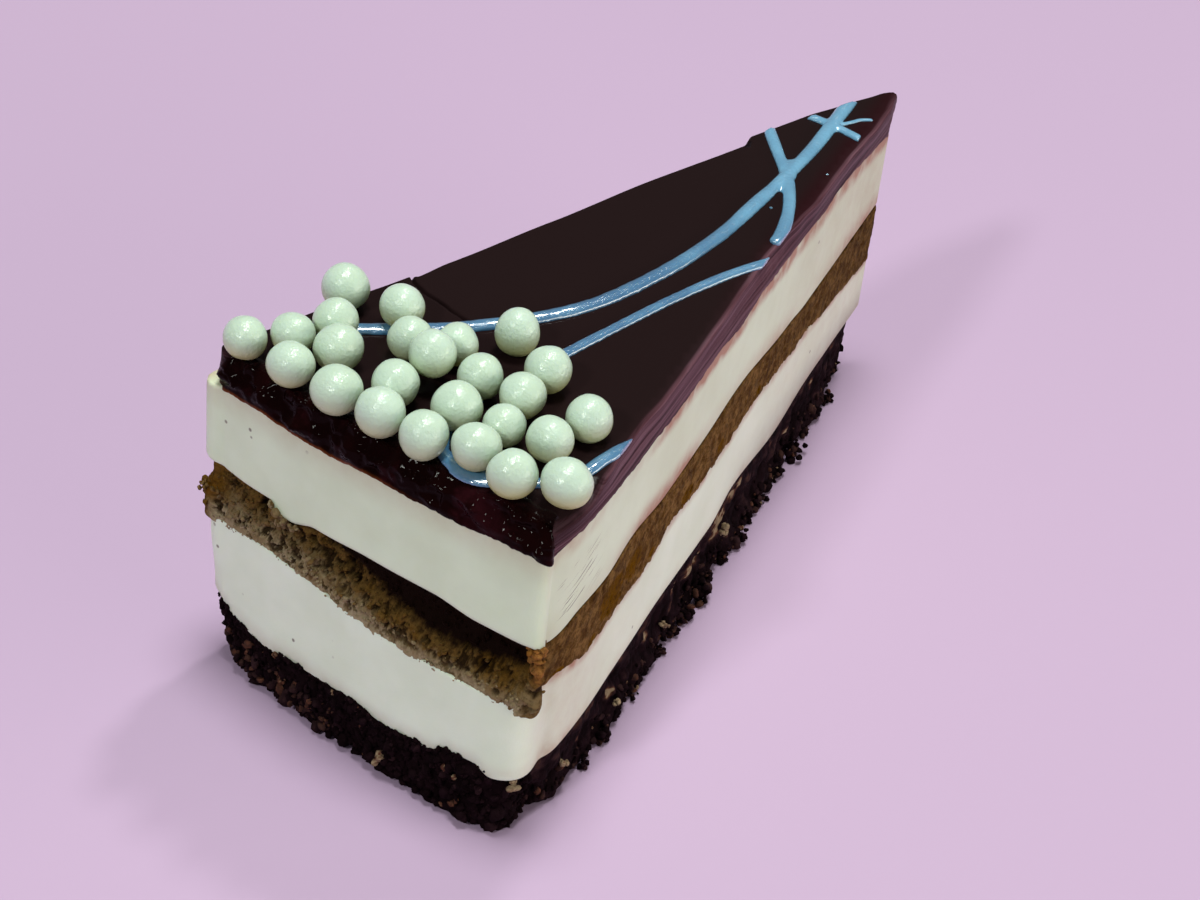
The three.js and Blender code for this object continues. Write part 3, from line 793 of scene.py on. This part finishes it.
def buildSponge(finish):
    ring = outline(sponge)
    low = edgeLine(ring, sponge, "Low", *sponge["raggedLow"])
    high = edgeLine(ring, sponge, "High", *sponge["raggedHigh"]) + sponge["overRim"] * ring.rim
    points, inset, share = sideRows(ring, low, high, sponge)

    # torn crumb with pores at the rim, near flat where it was cut
    soakShadeLine = through(sponge["soakAndShade"], ring.x)
    coarse = roughNoise(points, 1.7, 66, 5, 0.74)
    ridge = np.abs(roughNoise(stretched(points, 1, 1, 1.3), 1.3, 67, 3, 0.65))
    soakedAndShaded = ring.rim * smooth(soakShadeLine - 0.07, soakShadeLine + 0.03, share + 0.12 * coarse)
    near, value = cellNoise(points + 0.4 * coarse[..., None], 1.5, 65)
    pore = smooth(0.42, 0.2, near) * (value > 0.55)
    near, value = cellNoise(stretched(points, 1, 1, 1.2) + 0.5 * coarse[..., None], 2.6, 68)
    hole = smooth(0.36, 0.22, near) * (value > 0.35) * smooth(soakShadeLine - 0.5, soakShadeLine - 0.28, share)
    left, right = sponge["setBack"]
    setBack = (left + (right - left) * ring.across) * smooth(0.12, 0.65, share)
    setBack = setBack * smooth(*sponge["setBackEnd"], ring.x)
    crumbly = sponge["coarse"] * coarse - sponge["ridge"] * ridge - sponge["pore"] * pore
    crumbly = crumbly - sponge["hole"] * hole + 0.3
    even = 0.25 + 0.45 * smooth(19, 24, ring.x)
    onRim = crumbly * (even + (1 - even) * smooth(0.05, 0.4, share)) * (1 - 0.8 * soakedAndShaded) - setBack - 0.12
    onCut = 0.26 * coarse - 0.25 * pore * (coarse < 0) + 0.1
    out = bodyShift(ring, points[..., 2]) + ring.rim * onRim + ring.cut * onCut - inset
    out = out + sponge["leftBulge"] * smooth(-25.2, -27, ring.x) * smooth(0.85, 0.5, share)
    sides = pushOut(ring, points, out)

    # dark where soaked, painted shade under the upper cream and in pits, pores and holes; pale low down,
    # amber in spots
    pit = smooth(0.0, -0.25, coarse - ridge + 0.2)
    dark = np.maximum(np.maximum(soakedAndShaded, 0.85 * pit), np.maximum(0.85 * pore, hole))
    wetAndShade = ring.rim * dark * smooth(0.04, 0.22, share)
    wetAndShade = wetAndShade + ring.cut * (0.4 * smooth(0.05, 0.4, coarse) + 0.22 * smooth(45, 110, ring.inward))
    pale = ring.rim * smooth(0.75, 0.05, share / soakShadeLine + 0.35 * coarse) * (1 - 0.7 * pit)
    pale = pale * (1 - 0.6 * smooth(23, 25, ring.x))
    speckle = smooth(0.05, 0.35, roughNoise(stretched(points, 1, 0.6, 1), 2.6, 71, 3))
    gold = ring.rim * 0.35 * speckle * smooth(0.9, 0.5, share)
    gold = gold + 0.4 * ring.left * speckle * smooth(0.9, 0.2, share)
    gold = np.maximum(gold, spotMask(ring, points, sponge["spots"], (1, 0.7), (0.3, 0.5), coarse))
    gold = gold + 0.6 * smooth(-24.5, -27, ring.x) * smooth(0.25, 0.5, share)
    orange = 0.8 * ring.rim * smooth(23.6, 25, ring.x) * smooth(0.45, 0.7, share)
    smear = 0.7 * ring.cut * smooth(0.1, 0.6, 0.45 + coarse - 5 * share)  # cream dragged over its lower edge
    marks = {"wetAndShade": wetAndShade * (1 - 0.7 * smear), "pale": np.maximum(pale, smear), "gold": gold, "orange": orange,
             "cutSide": ring.cut * (1 - 0.75 * smear)}
    marks = {name: np.clip(rows, 0, 1) for name, rows in marks.items()}
    makeLayer("coffeeSponge", sides, sponge["cap"], finish, "sponge", "sponge", **marks)
    scatterSponge(np.random.default_rng(sponge["seed"]), ring, sides, marks, finish)


def scatterSponge(rng, ring, sides, marks, finish):
    # crumbs at the torn rim, finer ones at its lower edge, and some at its two corners and on its lumps
    count, (first, without) = sponge["rimCrumbs"], sponge["crumbRows"]
    at = rng.choice(np.flatnonzero(ring.rim > 0.3), count)
    row = (first + rng.random(count) ** 1.4 * (len(sides) - without)).astype(int)
    size = 0.1 + 0.36 * rng.random(count) ** 2 * smooth(2, 12, row)
    centres = [sides[row, at] + 0.15 * rng.normal(size=(count, 3))]
    for many, centre, spread in (sponge["leftEnd"], sponge["nearEnd"]):
        centres.append(np.array(centre) + rng.uniform(-1, 1, (many, 3)) * np.array(spread))
    far, near = sponge["leftEnd"][0], sponge["nearEnd"][0]
    lumps = np.repeat(np.array(sponge["lumps"]), sponge["lumpCrumbs"], axis=0)
    lumps[:, :3] += lumps[:, 3:4] * rng.uniform(-0.5, 0.5, (len(lumps), 3))
    endSize = np.concatenate([rng.uniform(0.2, 0.5, far), rng.uniform(0.2, 0.6, near)])
    size = np.concatenate([size, endSize, lumps[:, 3] * rng.uniform(0.4, 0.8, len(lumps))])
    paleness = marks["pale"][row, at] * rng.uniform(0.6, 1.0, count) + 0.3 * (row < 12)
    tones = [paleness, rng.uniform(0.1, 0.5, far + near), rng.uniform(0.2, 0.8, len(lumps))]
    centres = np.concatenate([*centres, lumps[:, :3]])
    verts, faces, pale = grainMesh(rng, centres, size, np.concatenate(tones))
    # crumbs on the rim take its soaking and painted shade
    wetAndShade = [marks["wetAndShade"][row, at], np.zeros(far + near + len(lumps))]
    gold = [0.25 * rng.random(count), rng.uniform(0.4, 0.9, far + near), rng.uniform(0, 0.3, len(lumps))]
    orange = [np.zeros(count + far), rng.uniform(0.4, 1.0, near), np.zeros(len(lumps))]
    perCrumb = {"wetAndShade": wetAndShade, "gold": gold, "orange": orange}
    each = len(verts) // len(size)
    marks = {name: np.repeat(np.concatenate(parts), each) for name, parts in perCrumb.items()}
    marks.update(pale=pale, cutSide=0 * pale)
    makePiece("spongeCrumbs", verts, faces, finish, None, marks)


# dark glaze, torn at the rim and cut at the sides
glaze = {
    "rounding": (2.6, 1.6, 2.0),
    "count": 1000, "rimDense": 2.0, "rows": 18, "roll": (0.25, 0.35), "cap": 0.97,
    "rimRoll": 0.75,  # how much rounder its upper edge is at the rim
    "topShares": (0.998, 0.994, 0.986, 0.975),  # rings between its upper edge and the even triangles
    "fill": 0.9,
    "rimLow": [(-27, 43.0), (-20, 43.4), (-10, 43.1), (0, 43.4), (10, 43.2), (20, 43.3), (27, 42.8)],
    "rightLow": [(0, 42.6), (5, 43.4), (10, 43.5), (20, 43.3), (37, 43.0), (44, 43.2), (51, 43.6),
                 (58.5, 42.9), (67, 43.8), (84, 43.7), (92, 43.2), (97, 43.8), (103, 43.5), (109, 42.9),
                 (115, 42.0), (123, 40.9)],
    "leftLow": [(0, 43.0), (40, 43.6), (80, 43.0), (123, 41.2)],
    "raggedLow": (0.3, 85, 1.2),
    # how far the right upper edge stands out, by distance from the rim
    "rightOut": [(0, 0.0), (13, 0.0), (18, -0.4), (24, -0.5), (31, -0.05), (41, -0.1), (50, -0.25),
                 (61, -0.6), (69, -0.75), (75, -0.5), (81, 0.0), (87, 0.5), (95, 0.4), (101, 0.4),
                 (106, 0.6), (111, 0.9), (117, 0.8), (122, 0.3)],
    "rimSlope": 1.1,  # how far the torn rim leans back
    "leftBack": 0.5,
    # relief of its top, then depth and reach of its dips
    "waves": (0.10, 14, 81, 2),
    "rimLumps": (0.55, 2.4, 83, 3, 0.55),
    "cornerDip": (1.5, 4.5),
    "sideDip": 2.0,
    "crack": [(-20.6, 30.4), (-18.9, 29.2), (-16.6, 28.3), (-13.8, 28.0), (-11.4, 27.4), (-8.4, 26.9),
              (-6.7, 26.8)],
    "crackSize": (0.22, 0.6),  # half width and depth
    "crackMesh": ((2.4, 2), (1.4, 2), (0.8, 1)),  # how far the mesh is made finer, and by how many cuts
    "crackReach": 1.2,  # how far below the top that is done
    "wine": (0.0055, 0.0009, 0.0010),
    "black": (0.0128, 0.0064, 0.0068),
    "mauve": (0.094, 0.038, 0.051),
    "plum": (0.024, 0.0075, 0.0105),
    "lilac": (0.16, 0.082, 0.108),
    "rust": (0.24, 0.06, 0.012),
    "red": (0.018, 0.0030, 0.0046),
}


def glazeFinish():
    f = Finish("darkGlaze", Specular_IOR_Level=0.035)
    rim, cut = f.mark("rimSide"), f.mark("cutSide")
    cloud, fine = f.noise(160, 4, 0.6), f.noise(2200, 3, 0.6)
    streak = f.noise(340, 4, 0.65, (4.0, 20.0, 0.2))
    above = f.mix(f.mark("glow") * (0.4 + 0.8 * cloud), glaze["black"], glaze["red"])
    colour = f.mix(rim, above, f.mix(cloud.over(0.56, 0.08), glaze["wine"], glaze["red"]))
    # the band on the cut sides: the jelly's own colour with painted reflection of the lilac surroundings,
    # streaked along the cut
    band = f.ramp(streak, [(0.36, glaze["plum"]), (0.5, glaze["mauve"]), (0.66, glaze["lilac"])])
    colour = f.mix(cut, colour, f.mix(0.75 * f.mark("near"), band, glaze["plum"]))
    colour = f.mix(f.mark("foot") * (0.3 + 0.9 * cloud), colour, glaze["rust"])
    lumps = f.noise(330, 2, 0.4, (1.8, 1.8, 1.0))
    rough = 0.13 - 0.07 * rim + 0.34 * cut
    bump = f.bump(0.012 * fine + rim * (0.03 * fine + 3.4 * lumps) + 0.6 * streak * cut, 0.0004, 0.8)
    return f.feed(Base_Color=colour, Roughness=rough, Normal=bump)


def lineGap(points, route):
    # distance from points to a bent line, in plan
    best = np.full(points.shape[:-1], 1e9)
    for a, b in zip(np.array(route[:-1]), np.array(route[1:])):
        t = np.clip(((points[..., :2] - a) @ (b - a)) / ((b - a) @ (b - a)), 0, 1)
        best = np.minimum(best, np.linalg.norm(points[..., :2] - a - t[..., None] * (b - a), axis=-1))
    return best


def fromRight(points):
    # distance from the straight right side, in plan
    return (half * length - points[..., :2] @ np.array([length, half])) / math.hypot(half, length)


def glazeTop(points):
    # height of the glaze's upper surface: near level, lumpy along the torn rim, lower at the near corner
    flat = stretched(points, 1, 1, 0)
    x, y = flat[..., 0], flat[..., 1]
    fromRim = y + cake["rimBulge"] * (1 - np.clip(x / half, -1, 1) ** 2)
    lumps = relief(flat, *glaze["rimLumps"]) * smooth(4.0, 0.5, fromRim)
    depth, reach = glaze["cornerDip"]
    dip = depth * np.exp(-(np.hypot(x - half + 1, y + 0.6) / reach) ** 2)
    dip = np.maximum(dip, glaze["sideDip"] * smooth(4.0, 0.4, fromRight(flat)) * smooth(13.0, 8.5, y))
    return cake["top"] + relief(flat, *glaze["waves"]) + lumps - dip


def cutCrack(piece):
    # a finer mesh along the crack, then its groove
    mesh = piece.data
    shape = bmesh.new()
    shape.from_mesh(mesh)

    def gaps():
        spots = np.array([v.co[:] for v in shape.verts]) * mmPerMetre - np.array(cake["toFrame"])
        onTop = spots[:, 2] > cake["top"] - glaze["crackReach"]
        return np.where(onTop, lineGap(spots, glaze["crack"]), 99) + 0.12 * roughNoise(spots, 0.9, 87, 2)

    for reach, cuts in glaze["crackMesh"]:
        close = gaps() < reach
        shape.verts.index_update()
        edges = [e for e in shape.edges if close[e.verts[0].index] and close[e.verts[1].index]]
        bmesh.ops.subdivide_edges(shape, edges=edges, cuts=cuts, use_grid_fill=True)
    width, depth = glaze["crackSize"]
    for vert, gap in zip(shape.verts, gaps()):
        vert.co.z -= depth / mmPerMetre * math.exp(-(gap / width) ** 2)
    shape.to_mesh(mesh)
    shape.free()


def buildGlaze(finish):
    count, ring = glaze["count"], outline(glaze)
    low = edgeLine(ring, glaze, "Low", *glaze["raggedLow"]) - 0.1
    high = glazeTop(ring.flat) - 0.25 * ring.rim
    points, inset, share = sideRows(ring, low, high, glaze)

    # shreds, folds and hollows at the rim, knife streaks on the cut sides
    shred = roughNoise(stretched(points, 0.7, 0.7, 1.2), 2.6, 86, 4, 0.55)
    fold = 1 - np.abs(roughNoise(stretched(points, 0.6, 0.6, 1.1), 3.4, 88, 3, 0.5))
    near, value = cellNoise(stretched(points, 0.8, 0.8, 1.1) + 0.5 * shred[..., None], 2.3, 84)
    hollows = 1.1 * (near ** 2 - 0.3) * (0.4 + value)
    torn = (0.8 * shred + 0.9 * (fold - 0.8) + hollows - 0.1) * smooth(0.05, 0.3, share) + 0.3
    streaks = 0.12 + 0.08 * roughNoise(stretched(points, 0.3, 0.1, 3), 1.2, 89, 3)
    out = bodyShift(ring, points[..., 2]) + ring.rim * torn + ring.cut * streaks - inset
    out = out - glaze["rimSlope"] * ring.rim * smooth(0.25, 1.0, share)
    out = out - glaze["leftBack"] * ring.left * smooth(28, 5, ring.y)
    out = out + ring.right * through(glaze["rightOut"], ring.inward) * smooth(0.15, 0.9, share)
    sides = pushOut(ring, points, out)
    shares = np.array(glaze["topShares"])
    top = capLoops(sides[-1], shares)
    for inner, loop in zip(shares, top):
        blend = smooth(1.0, shares[2], inner)
        loop[:, 2] = sides[-1][:, 2] * (1 - blend) + glazeTop(loop) * blend
    under = capLoops(sides[0], (*cake["capShares"], glaze["cap"]))
    loops = under + list(sides) + top
    verts, faces = loftFaces(loops, closeTop=False)
    middle, tris = fillLoop(top[-1], glaze["fill"])
    middle[:, 2] = glazeTop(middle)
    edge = (len(loops) - 1) * count
    faces += [[edge + k if k < count else len(verts) + k - count for k in tri] for tri in tris]
    verts = np.concatenate([verts, middle])

    # the side's colour ends sharply at the rim and on the right, elsewhere the band fades into the top
    sharp = np.maximum(ring.rim, ring.right * smooth(121, 113, ring.y))
    side = sharp * smooth(1.03, 0.985, share) + (1 - sharp) * smooth(0.99, 0.84, share)
    foot = 0.85 * ring.rim * smooth(0.15, 0.03, share) * smooth(10, -5, ring.x)
    near = ring.cut * smooth(18, 4, ring.inward) * smooth(0.3, 0.75, share)
    marks = padMarks(len(under), len(top), rimSide=ring.rim * np.maximum(side, 0.5), cutSide=ring.cut * side,
                     foot=foot, near=near)
    start = (len(under) + len(sides)) * count
    fade = np.repeat(smooth(0.97, 1.0, shares), count)
    for name in marks:
        marks[name][start:start + len(fade)] *= fade
        marks[name] = np.concatenate([marks[name][:-1], np.zeros(len(middle))])
    # redder along its right edge
    marks["glow"] = smooth(3.5, 0.3, fromRight(verts)) * smooth(45, 75, verts[:, 1])
    cutCrack(makePiece("darkGlaze", verts, faces, finish, "glaze", marks))


# piped drizzle
drizzle = {
    # width, height for its half width, then the route
    "lines": [
        (2.2, 0.7, [(-25, 8), (-16.8, 15.7), (-7.3, 25.9), (0.5, 39.3), (3.1, 52.5), (3.6, 65), (2.5, 77.5),
                    (1.5, 86.7), (0.15, 95.6), (-1.6, 103.8), (-3.1, 110.6), (-4.3, 116)]),
        (1.9, 0.72, [(24.4, 27), (22.2, 18), (20.6, 8), (13.6, 1.6), (7.4, 2.2), (3.4, 8.5), (3.0, 15)]),
        (1.75, 0.72, [(4.6, 26), (6.1, 37.4), (7.9, 49.8), (9.9, 59.4), (12.6, 67.5)]),
        (2.0, 0.7, [(-10.3, 99), (-6.8, 95.4), (-2.1, 90.5), (1.5, 86.8), (5.3, 81.6), (8.0, 76.6),
                    (9.6, 72.4), (10.1, 70.2)]),
        (1.6, 0.7, [(-8, 103.4), (-1.3, 103.8), (6, 103.0)]),
        (0.8, 0.8, [(-1.2, 103.9), (0.0, 106.6), (0.6, 108.2), (2.0, 109.7)]),
        (0.6, 0.8, [(4.2, 77.7), (5.0, 78.2)]),
        (0.5, 0.8, [(5.1, 91.2), (5.6, 91.6)]),
    ],
    # the same for pools, which taper towards both ends
    "pools": [
        (2.7, 0.54, [(3.3, 82.4), (1.5, 87.0), (-0.4, 91.4)]),
        (2.6, 0.54, [(-0.7, 100.6), (-1.6, 104.0), (-2.4, 107.2)]),
        (3.5, 0.42, [(15.6, 2.0), (11.0, 1.45), (7.6, 3.6)]),
    ],
    "sides": 24, "step": 0.25,  # points round a line, and mm between its rings
    "under": 0.45,  # how deep the lower half is for its height
    "swell": (0.10, 6),  # how far the width varies, and over what length
    "ripple": (0.07, 0.8),
    "rippleEnd": (75, 45),
    "skin": 0.2,  # grain of the joined skin
    "softening": 6,
    # lines that it is cut along, flush with the slice's sides
    "leftTrim": [(-8.35, 92.0), (-2.35, 113.0)],
    "rightTrim": [(26.5, 0.0), (0.0, 119.0)],
    "steel": (0.045, 0.150, 0.300),
    "ice": (0.155, 0.39, 0.60),
}


def drizzleFinish():
    f = Finish("pipedDrizzle", Specular_IOR_Level=0.6, Coat_Weight=1.0, Coat_Roughness=0.13, Coat_IOR=2.1)
    cloud, fine = f.noise(220, 3, 0.5), f.noise(1900, 3, 0.6)
    colour = f.mix(0.75 * f.mark("far") + 0.35 * cloud.over(0.55, 0.2), drizzle["steel"], drizzle["ice"])
    return f.feed(Base_Color=colour, Roughness=0.08 + 0.08 * cloud, Normal=f.bump(fine, 0.0003, 0.6))


def curveThrough(route, step, samples=60):
    # even points on a centripetal curve through the route
    p = np.array([2 * np.array(route[0]) - route[1], *route, 2 * np.array(route[-1]) - route[-2]], float)
    dense = []
    for a, b, c, d in zip(p[:-3], p[1:-2], p[2:-1], p[3:]):
        t0, t1 = 0.0, math.sqrt(np.linalg.norm(b - a))
        t2 = t1 + math.sqrt(np.linalg.norm(c - b))
        t3 = t2 + math.sqrt(np.linalg.norm(d - c))
        t = np.linspace(t1, t2, samples, endpoint=False)[:, None]
        ab = (a * (t1 - t) + b * (t - t0)) / (t1 - t0)
        bc = (b * (t2 - t) + c * (t - t1)) / (t2 - t1)
        cd = (c * (t3 - t) + d * (t - t2)) / (t3 - t2)
        abc = (ab * (t2 - t) + bc * (t - t0)) / (t2 - t0)
        bcd = (bc * (t3 - t) + cd * (t - t1)) / (t3 - t1)
        dense.append((abc * (t2 - t) + bcd * (t - t1)) / (t2 - t1))
    dense = np.concatenate(dense + [p[-2:-1]])
    run = np.concatenate([[0], np.cumsum(np.linalg.norm(np.diff(dense, axis=0), axis=1))])
    at = np.linspace(0, run[-1], max(int(run[-1] / step), 4))
    return np.stack([np.interp(at, run, dense[:, 0]), np.interp(at, run, dense[:, 1])], -1)


def ropeLoops(number, width, flat, route):
    # rings of points along one line
    step, angle = drizzle["step"], np.linspace(0, 2 * math.pi, drizzle["sides"], endpoint=False)
    rise = np.where(np.sin(angle) > 0, 1.0, drizzle["under"]) * np.sin(angle)
    path = curveThrough(route, step)
    run = np.gradient(path, axis=0)
    run /= np.linalg.norm(run, axis=1)[:, None]
    across = np.stack([run[:, 1], -run[:, 0]], -1)
    along = np.arange(len(path))[:, None] * step
    beside, above = np.cos(angle) * 1.2, np.sin(angle) * 1.2 + 20 * number
    where = np.stack([along + 0 * angle, beside + 0 * along, above + 0 * along], -1)
    fade = smooth(*drizzle["rippleEnd"], path[:, 1])[:, None]
    swell = 1 + relief(stretched(where[:, :1], 1, 0, 0), *drizzle["swell"], 91 + number, 2)
    swell = swell + relief(where, *drizzle["ripple"], 95, 2) * fade
    fromEnd = step * np.minimum(np.arange(len(path)), np.arange(len(path))[::-1])
    taper = width / 2 if number < len(drizzle["lines"]) else fromEnd.max()
    swell = swell * np.sqrt(np.clip(1 - (1 - np.clip(fromEnd / taper, 0, 1)) ** 2, 0.02, 1))[:, None]
    wide, tall = np.cos(angle) * width / 2 * swell, rise * width / 2 * flat * swell
    base = glazeTop(np.concatenate([path, np.zeros((len(path), 1))], 1))
    loops = np.zeros((*wide.shape, 3))
    loops[..., :2] = path[:, None] + across[:, None] * wide[..., None]
    loops[..., 2] = base[:, None] + tall
    return loops


def trimmedRope(loops):
    # a closed line, cut flush with the slice's sides
    rope, sides = bmesh.new(), drizzle["sides"]
    rows = [[rope.verts.new(v) for v in loop] for loop in loops]
    for a, b in zip(rows[:-1], rows[1:]):
        for i in range(sides):
            rope.faces.new((a[i], a[(i + 1) % sides], b[(i + 1) % sides], b[i]))
    rope.faces.new(rows[0][::-1])
    rope.faces.new(rows[-1])
    for side, (a, b) in ((-1, drizzle["leftTrim"]), (1, drizzle["rightTrim"])):
        normal = Vector((side * (b[1] - a[1]), side * (a[0] - b[0]), 0)).normalized()
        everything = rope.verts[:] + rope.edges[:] + rope.faces[:]
        cutOff = bmesh.ops.bisect_plane(rope, geom=everything, dist=1e-4, plane_co=(*a, 0), plane_no=normal,
                                        clear_outer=True)
        edges = [e for e in cutOff["geom_cut"] if isinstance(e, bmesh.types.BMEdge)]
        if edges:
            bmesh.ops.contextual_create(rope, geom=edges)
    bmesh.ops.recalc_face_normals(rope, faces=rope.faces[:])
    rope.verts.index_update()
    verts, faces = [v.co[:] for v in rope.verts], [[v.index for v in face.verts] for face in rope.faces]
    rope.free()
    return verts, faces


def joinSkin(verts, faces):
    # lines that cross become one skin, softened where they meet
    mesh = bpy.data.meshes.new("lines")
    mesh.from_pydata(verts, [], faces)
    lines = addObject("lines", mesh)
    join = lines.modifiers.new("join", "REMESH")
    join.mode, join.voxel_size = "VOXEL", drizzle["skin"]
    soften = lines.modifiers.new("soften", "SMOOTH")
    soften.factor, soften.iterations = 0.5, drizzle["softening"]
    skin = lines.evaluated_get(bpy.context.evaluated_depsgraph_get()).to_mesh()
    joined = np.array([v.co[:] for v in skin.vertices]), [list(face.vertices) for face in skin.polygons]
    bpy.data.objects.remove(lines)
    bpy.data.meshes.remove(mesh)
    return joined


def buildDrizzle(finish):
    allVerts, allFaces = [], []
    for number, line in enumerate(drizzle["lines"] + drizzle["pools"]):
        verts, faces = trimmedRope(ropeLoops(number, *line))
        allFaces += [[k + len(allVerts) for k in face] for face in faces]
        allVerts += verts
    verts, faces = joinSkin(allVerts, allFaces)
    makePiece("pipedDrizzle", verts, faces, finish, None, {"far": smooth(45, 95, verts[:, 1])})


# chocolate pearls
pearl = {
    "seed": 37, "count": 25, "detail": 4,
    "sink": 0.3,  # how far each is pressed into the glaze
    "shapes": {12: (0.95, 0.95, 1.1), 25: (1.04, 1.0, 0.97)},
    "dents": ((0.08, 1.2, 101, 2), (0.012, 0.35, 102, 2)),  # relief for a pearl of size 1
    "apart": 9,
    "shell": (0.485, 0.605, 0.475),
    "milk": (0.555, 0.69, 0.605),
    # painted shade and painted reflection of the glaze on each pearl's lower side
    "olive": (0.50, 0.49, 0.18),
}


def pearlFinish():
    f = Finish("pearlShell", Subsurface_Weight=0.35, Subsurface_Scale=0.0008,
               Subsurface_Radius=(1.0, 0.9, 0.6), Specular_IOR_Level=0.45)
    cloud, fine = f.noise(160, 2, 0.5), f.noise(2300, 2, 0.5)
    colour = f.mix(cloud, pearl["shell"], pearl["milk"])
    # painted shade and reflection: olive on the lower side
    colour = f.mix(f.mark("low") * (0.65 + 0.6 * cloud), colour, pearl["olive"])
    return f.feed(Base_Color=colour, Roughness=0.15 + 0.13 * cloud, Normal=f.bump(fine, 0.00014, 0.7))


def buildPearls(finish):
    rng = np.random.default_rng(pearl["seed"])
    base, tris = ballMesh(pearl["detail"])
    for number in range(1, pearl["count"] + 1):
        node = f"pearl_{number:02d}"
        lowest, highest = (np.array(corner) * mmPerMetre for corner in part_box(node))
        centre, radius = (lowest + highest) / 2 - np.array(cake["toFrame"]), (highest - lowest).mean() / 2
        shape = np.array(pearl["shapes"].get(number, (1, 1, 1)))
        at = base + pearl["apart"] * number
        dents = sum(relief(at, *dent) for dent in pearl["dents"])
        verts = base * (1 + dents)[:, None] * shape * radius + centre - np.array([0, 0, pearl["sink"]])
        # how much of the painted shade and reflection each point of the lower side takes
        low = smooth(0.5, -0.6, base[:, 2]) * rng.uniform(0.6, 1.0)
        makePiece(f"pearl{number:02d}", verts, tris.tolist(), finish, node, {"low": low})


buildCrust(crustFinish())
buildLowerCream()
buildUpperCream()
buildSponge(spongeFinish())
buildGlaze(glazeFinish())
buildDrizzle(drizzleFinish())
buildPearls(pearlFinish())

# floor, light and camera
stage = {
    "floor": (0.505, 0.362, 0.54), "floorShade": 0.97, "floorReach": 6.0,
    "sky": (1.0, 0.97, 0.97), "skyStrength": 0.16,
    # place in metres, size, power, colour
    "lamps": {
        "overhead": ((-0.02, 0.03, 1.6), (0.5, 0.5), 17.5, (0.95, 1.0, 0.93)),
        "rightWindow": ((1.30, 0.33, 0.41), (1.7, 0.36), 8.9, (1.0, 0.965, 0.84)),
        "backLamp": ((-0.14, 0.6, 1.2), (0.14, 0.14), 4, (1.0, 1.0, 0.95)),
        "frontLamp": ((0.0, -1.05, 0.95), (0.16, 0.16), 6.5, (0.95, 1.0, 0.93)),
    },
    "camera": (161.98, -212.81, 243.42),
    "azimuth": 31.787, "elevation": 35.978, "roll": 6.798,
    "sensor": 36,
    "focal": 2779.7 / 1200,  # in picture widths
    "clipStart": 0.01,
}


def buildFloor():
    f = Finish("plainFloor", Roughness=0.7)
    shade = tuple(stage["floorShade"] * c for c in stage["floor"])
    f.feed(Base_Color=f.mix(f.noise(6, 3, 0.5), stage["floor"], shade))
    mesh = bpy.data.meshes.new("floor")
    corners = [(-1, -1), (1, -1), (1, 1), (-1, 1)]
    reach = stage["floorReach"]
    mesh.from_pydata([(reach * x, reach * y, 0) for x, y in corners], [], [(0, 1, 2, 3)])
    mesh.materials.append(f.material)
    floor = addObject("floor", mesh)


def addLight(name, position, size, power, colour):
    lamp = bpy.data.lights.new(name, "AREA")
    lamp.shape, lamp.energy, lamp.color = "ELLIPSE", power, colour
    lamp.size, lamp.size_y = size
    light = addObject(name, lamp)
    light.location = position
    light.rotation_euler = (-Vector(position)).to_track_quat("-Z", "Y").to_euler()


def buildCamera():
    a, e, r = (math.radians(stage[key]) for key in ("azimuth", "elevation", "roll"))
    back = Vector((math.sin(a) * math.cos(e), -math.cos(a) * math.cos(e), math.sin(e)))
    level = Vector((math.cos(a), math.sin(a), 0))
    rise = back.cross(level)
    right = math.cos(r) * level + math.sin(r) * rise
    up = math.cos(r) * rise - math.sin(r) * level
    lens = bpy.data.cameras.new("camera")
    lens.sensor_width, lens.lens = stage["sensor"], stage["sensor"] * stage["focal"]
    lens.clip_start = stage["clipStart"]
    camera = addObject("camera", lens)
    place = (Vector(stage["camera"]) + Vector(cake["toFrame"])) / mmPerMetre
    camera.matrix_world = Matrix.Translation(place) @ Matrix((right, up, back)).transposed().to_4x4()
    bpy.context.scene.camera = camera


world = bpy.data.worlds.new("studio")
bpy.context.scene.world = world
world.use_nodes = True
sky = world.node_tree.nodes["Background"].inputs
sky["Color"].default_value = (*stage["sky"], 1)
sky["Strength"].default_value = stage["skyStrength"]
buildFloor()
for name, settings in stage["lamps"].items():
    addLight(name, *settings)
buildCamera()
bpy.context.scene.view_settings.view_transform = "Standard"
print("floor, light and camera set")
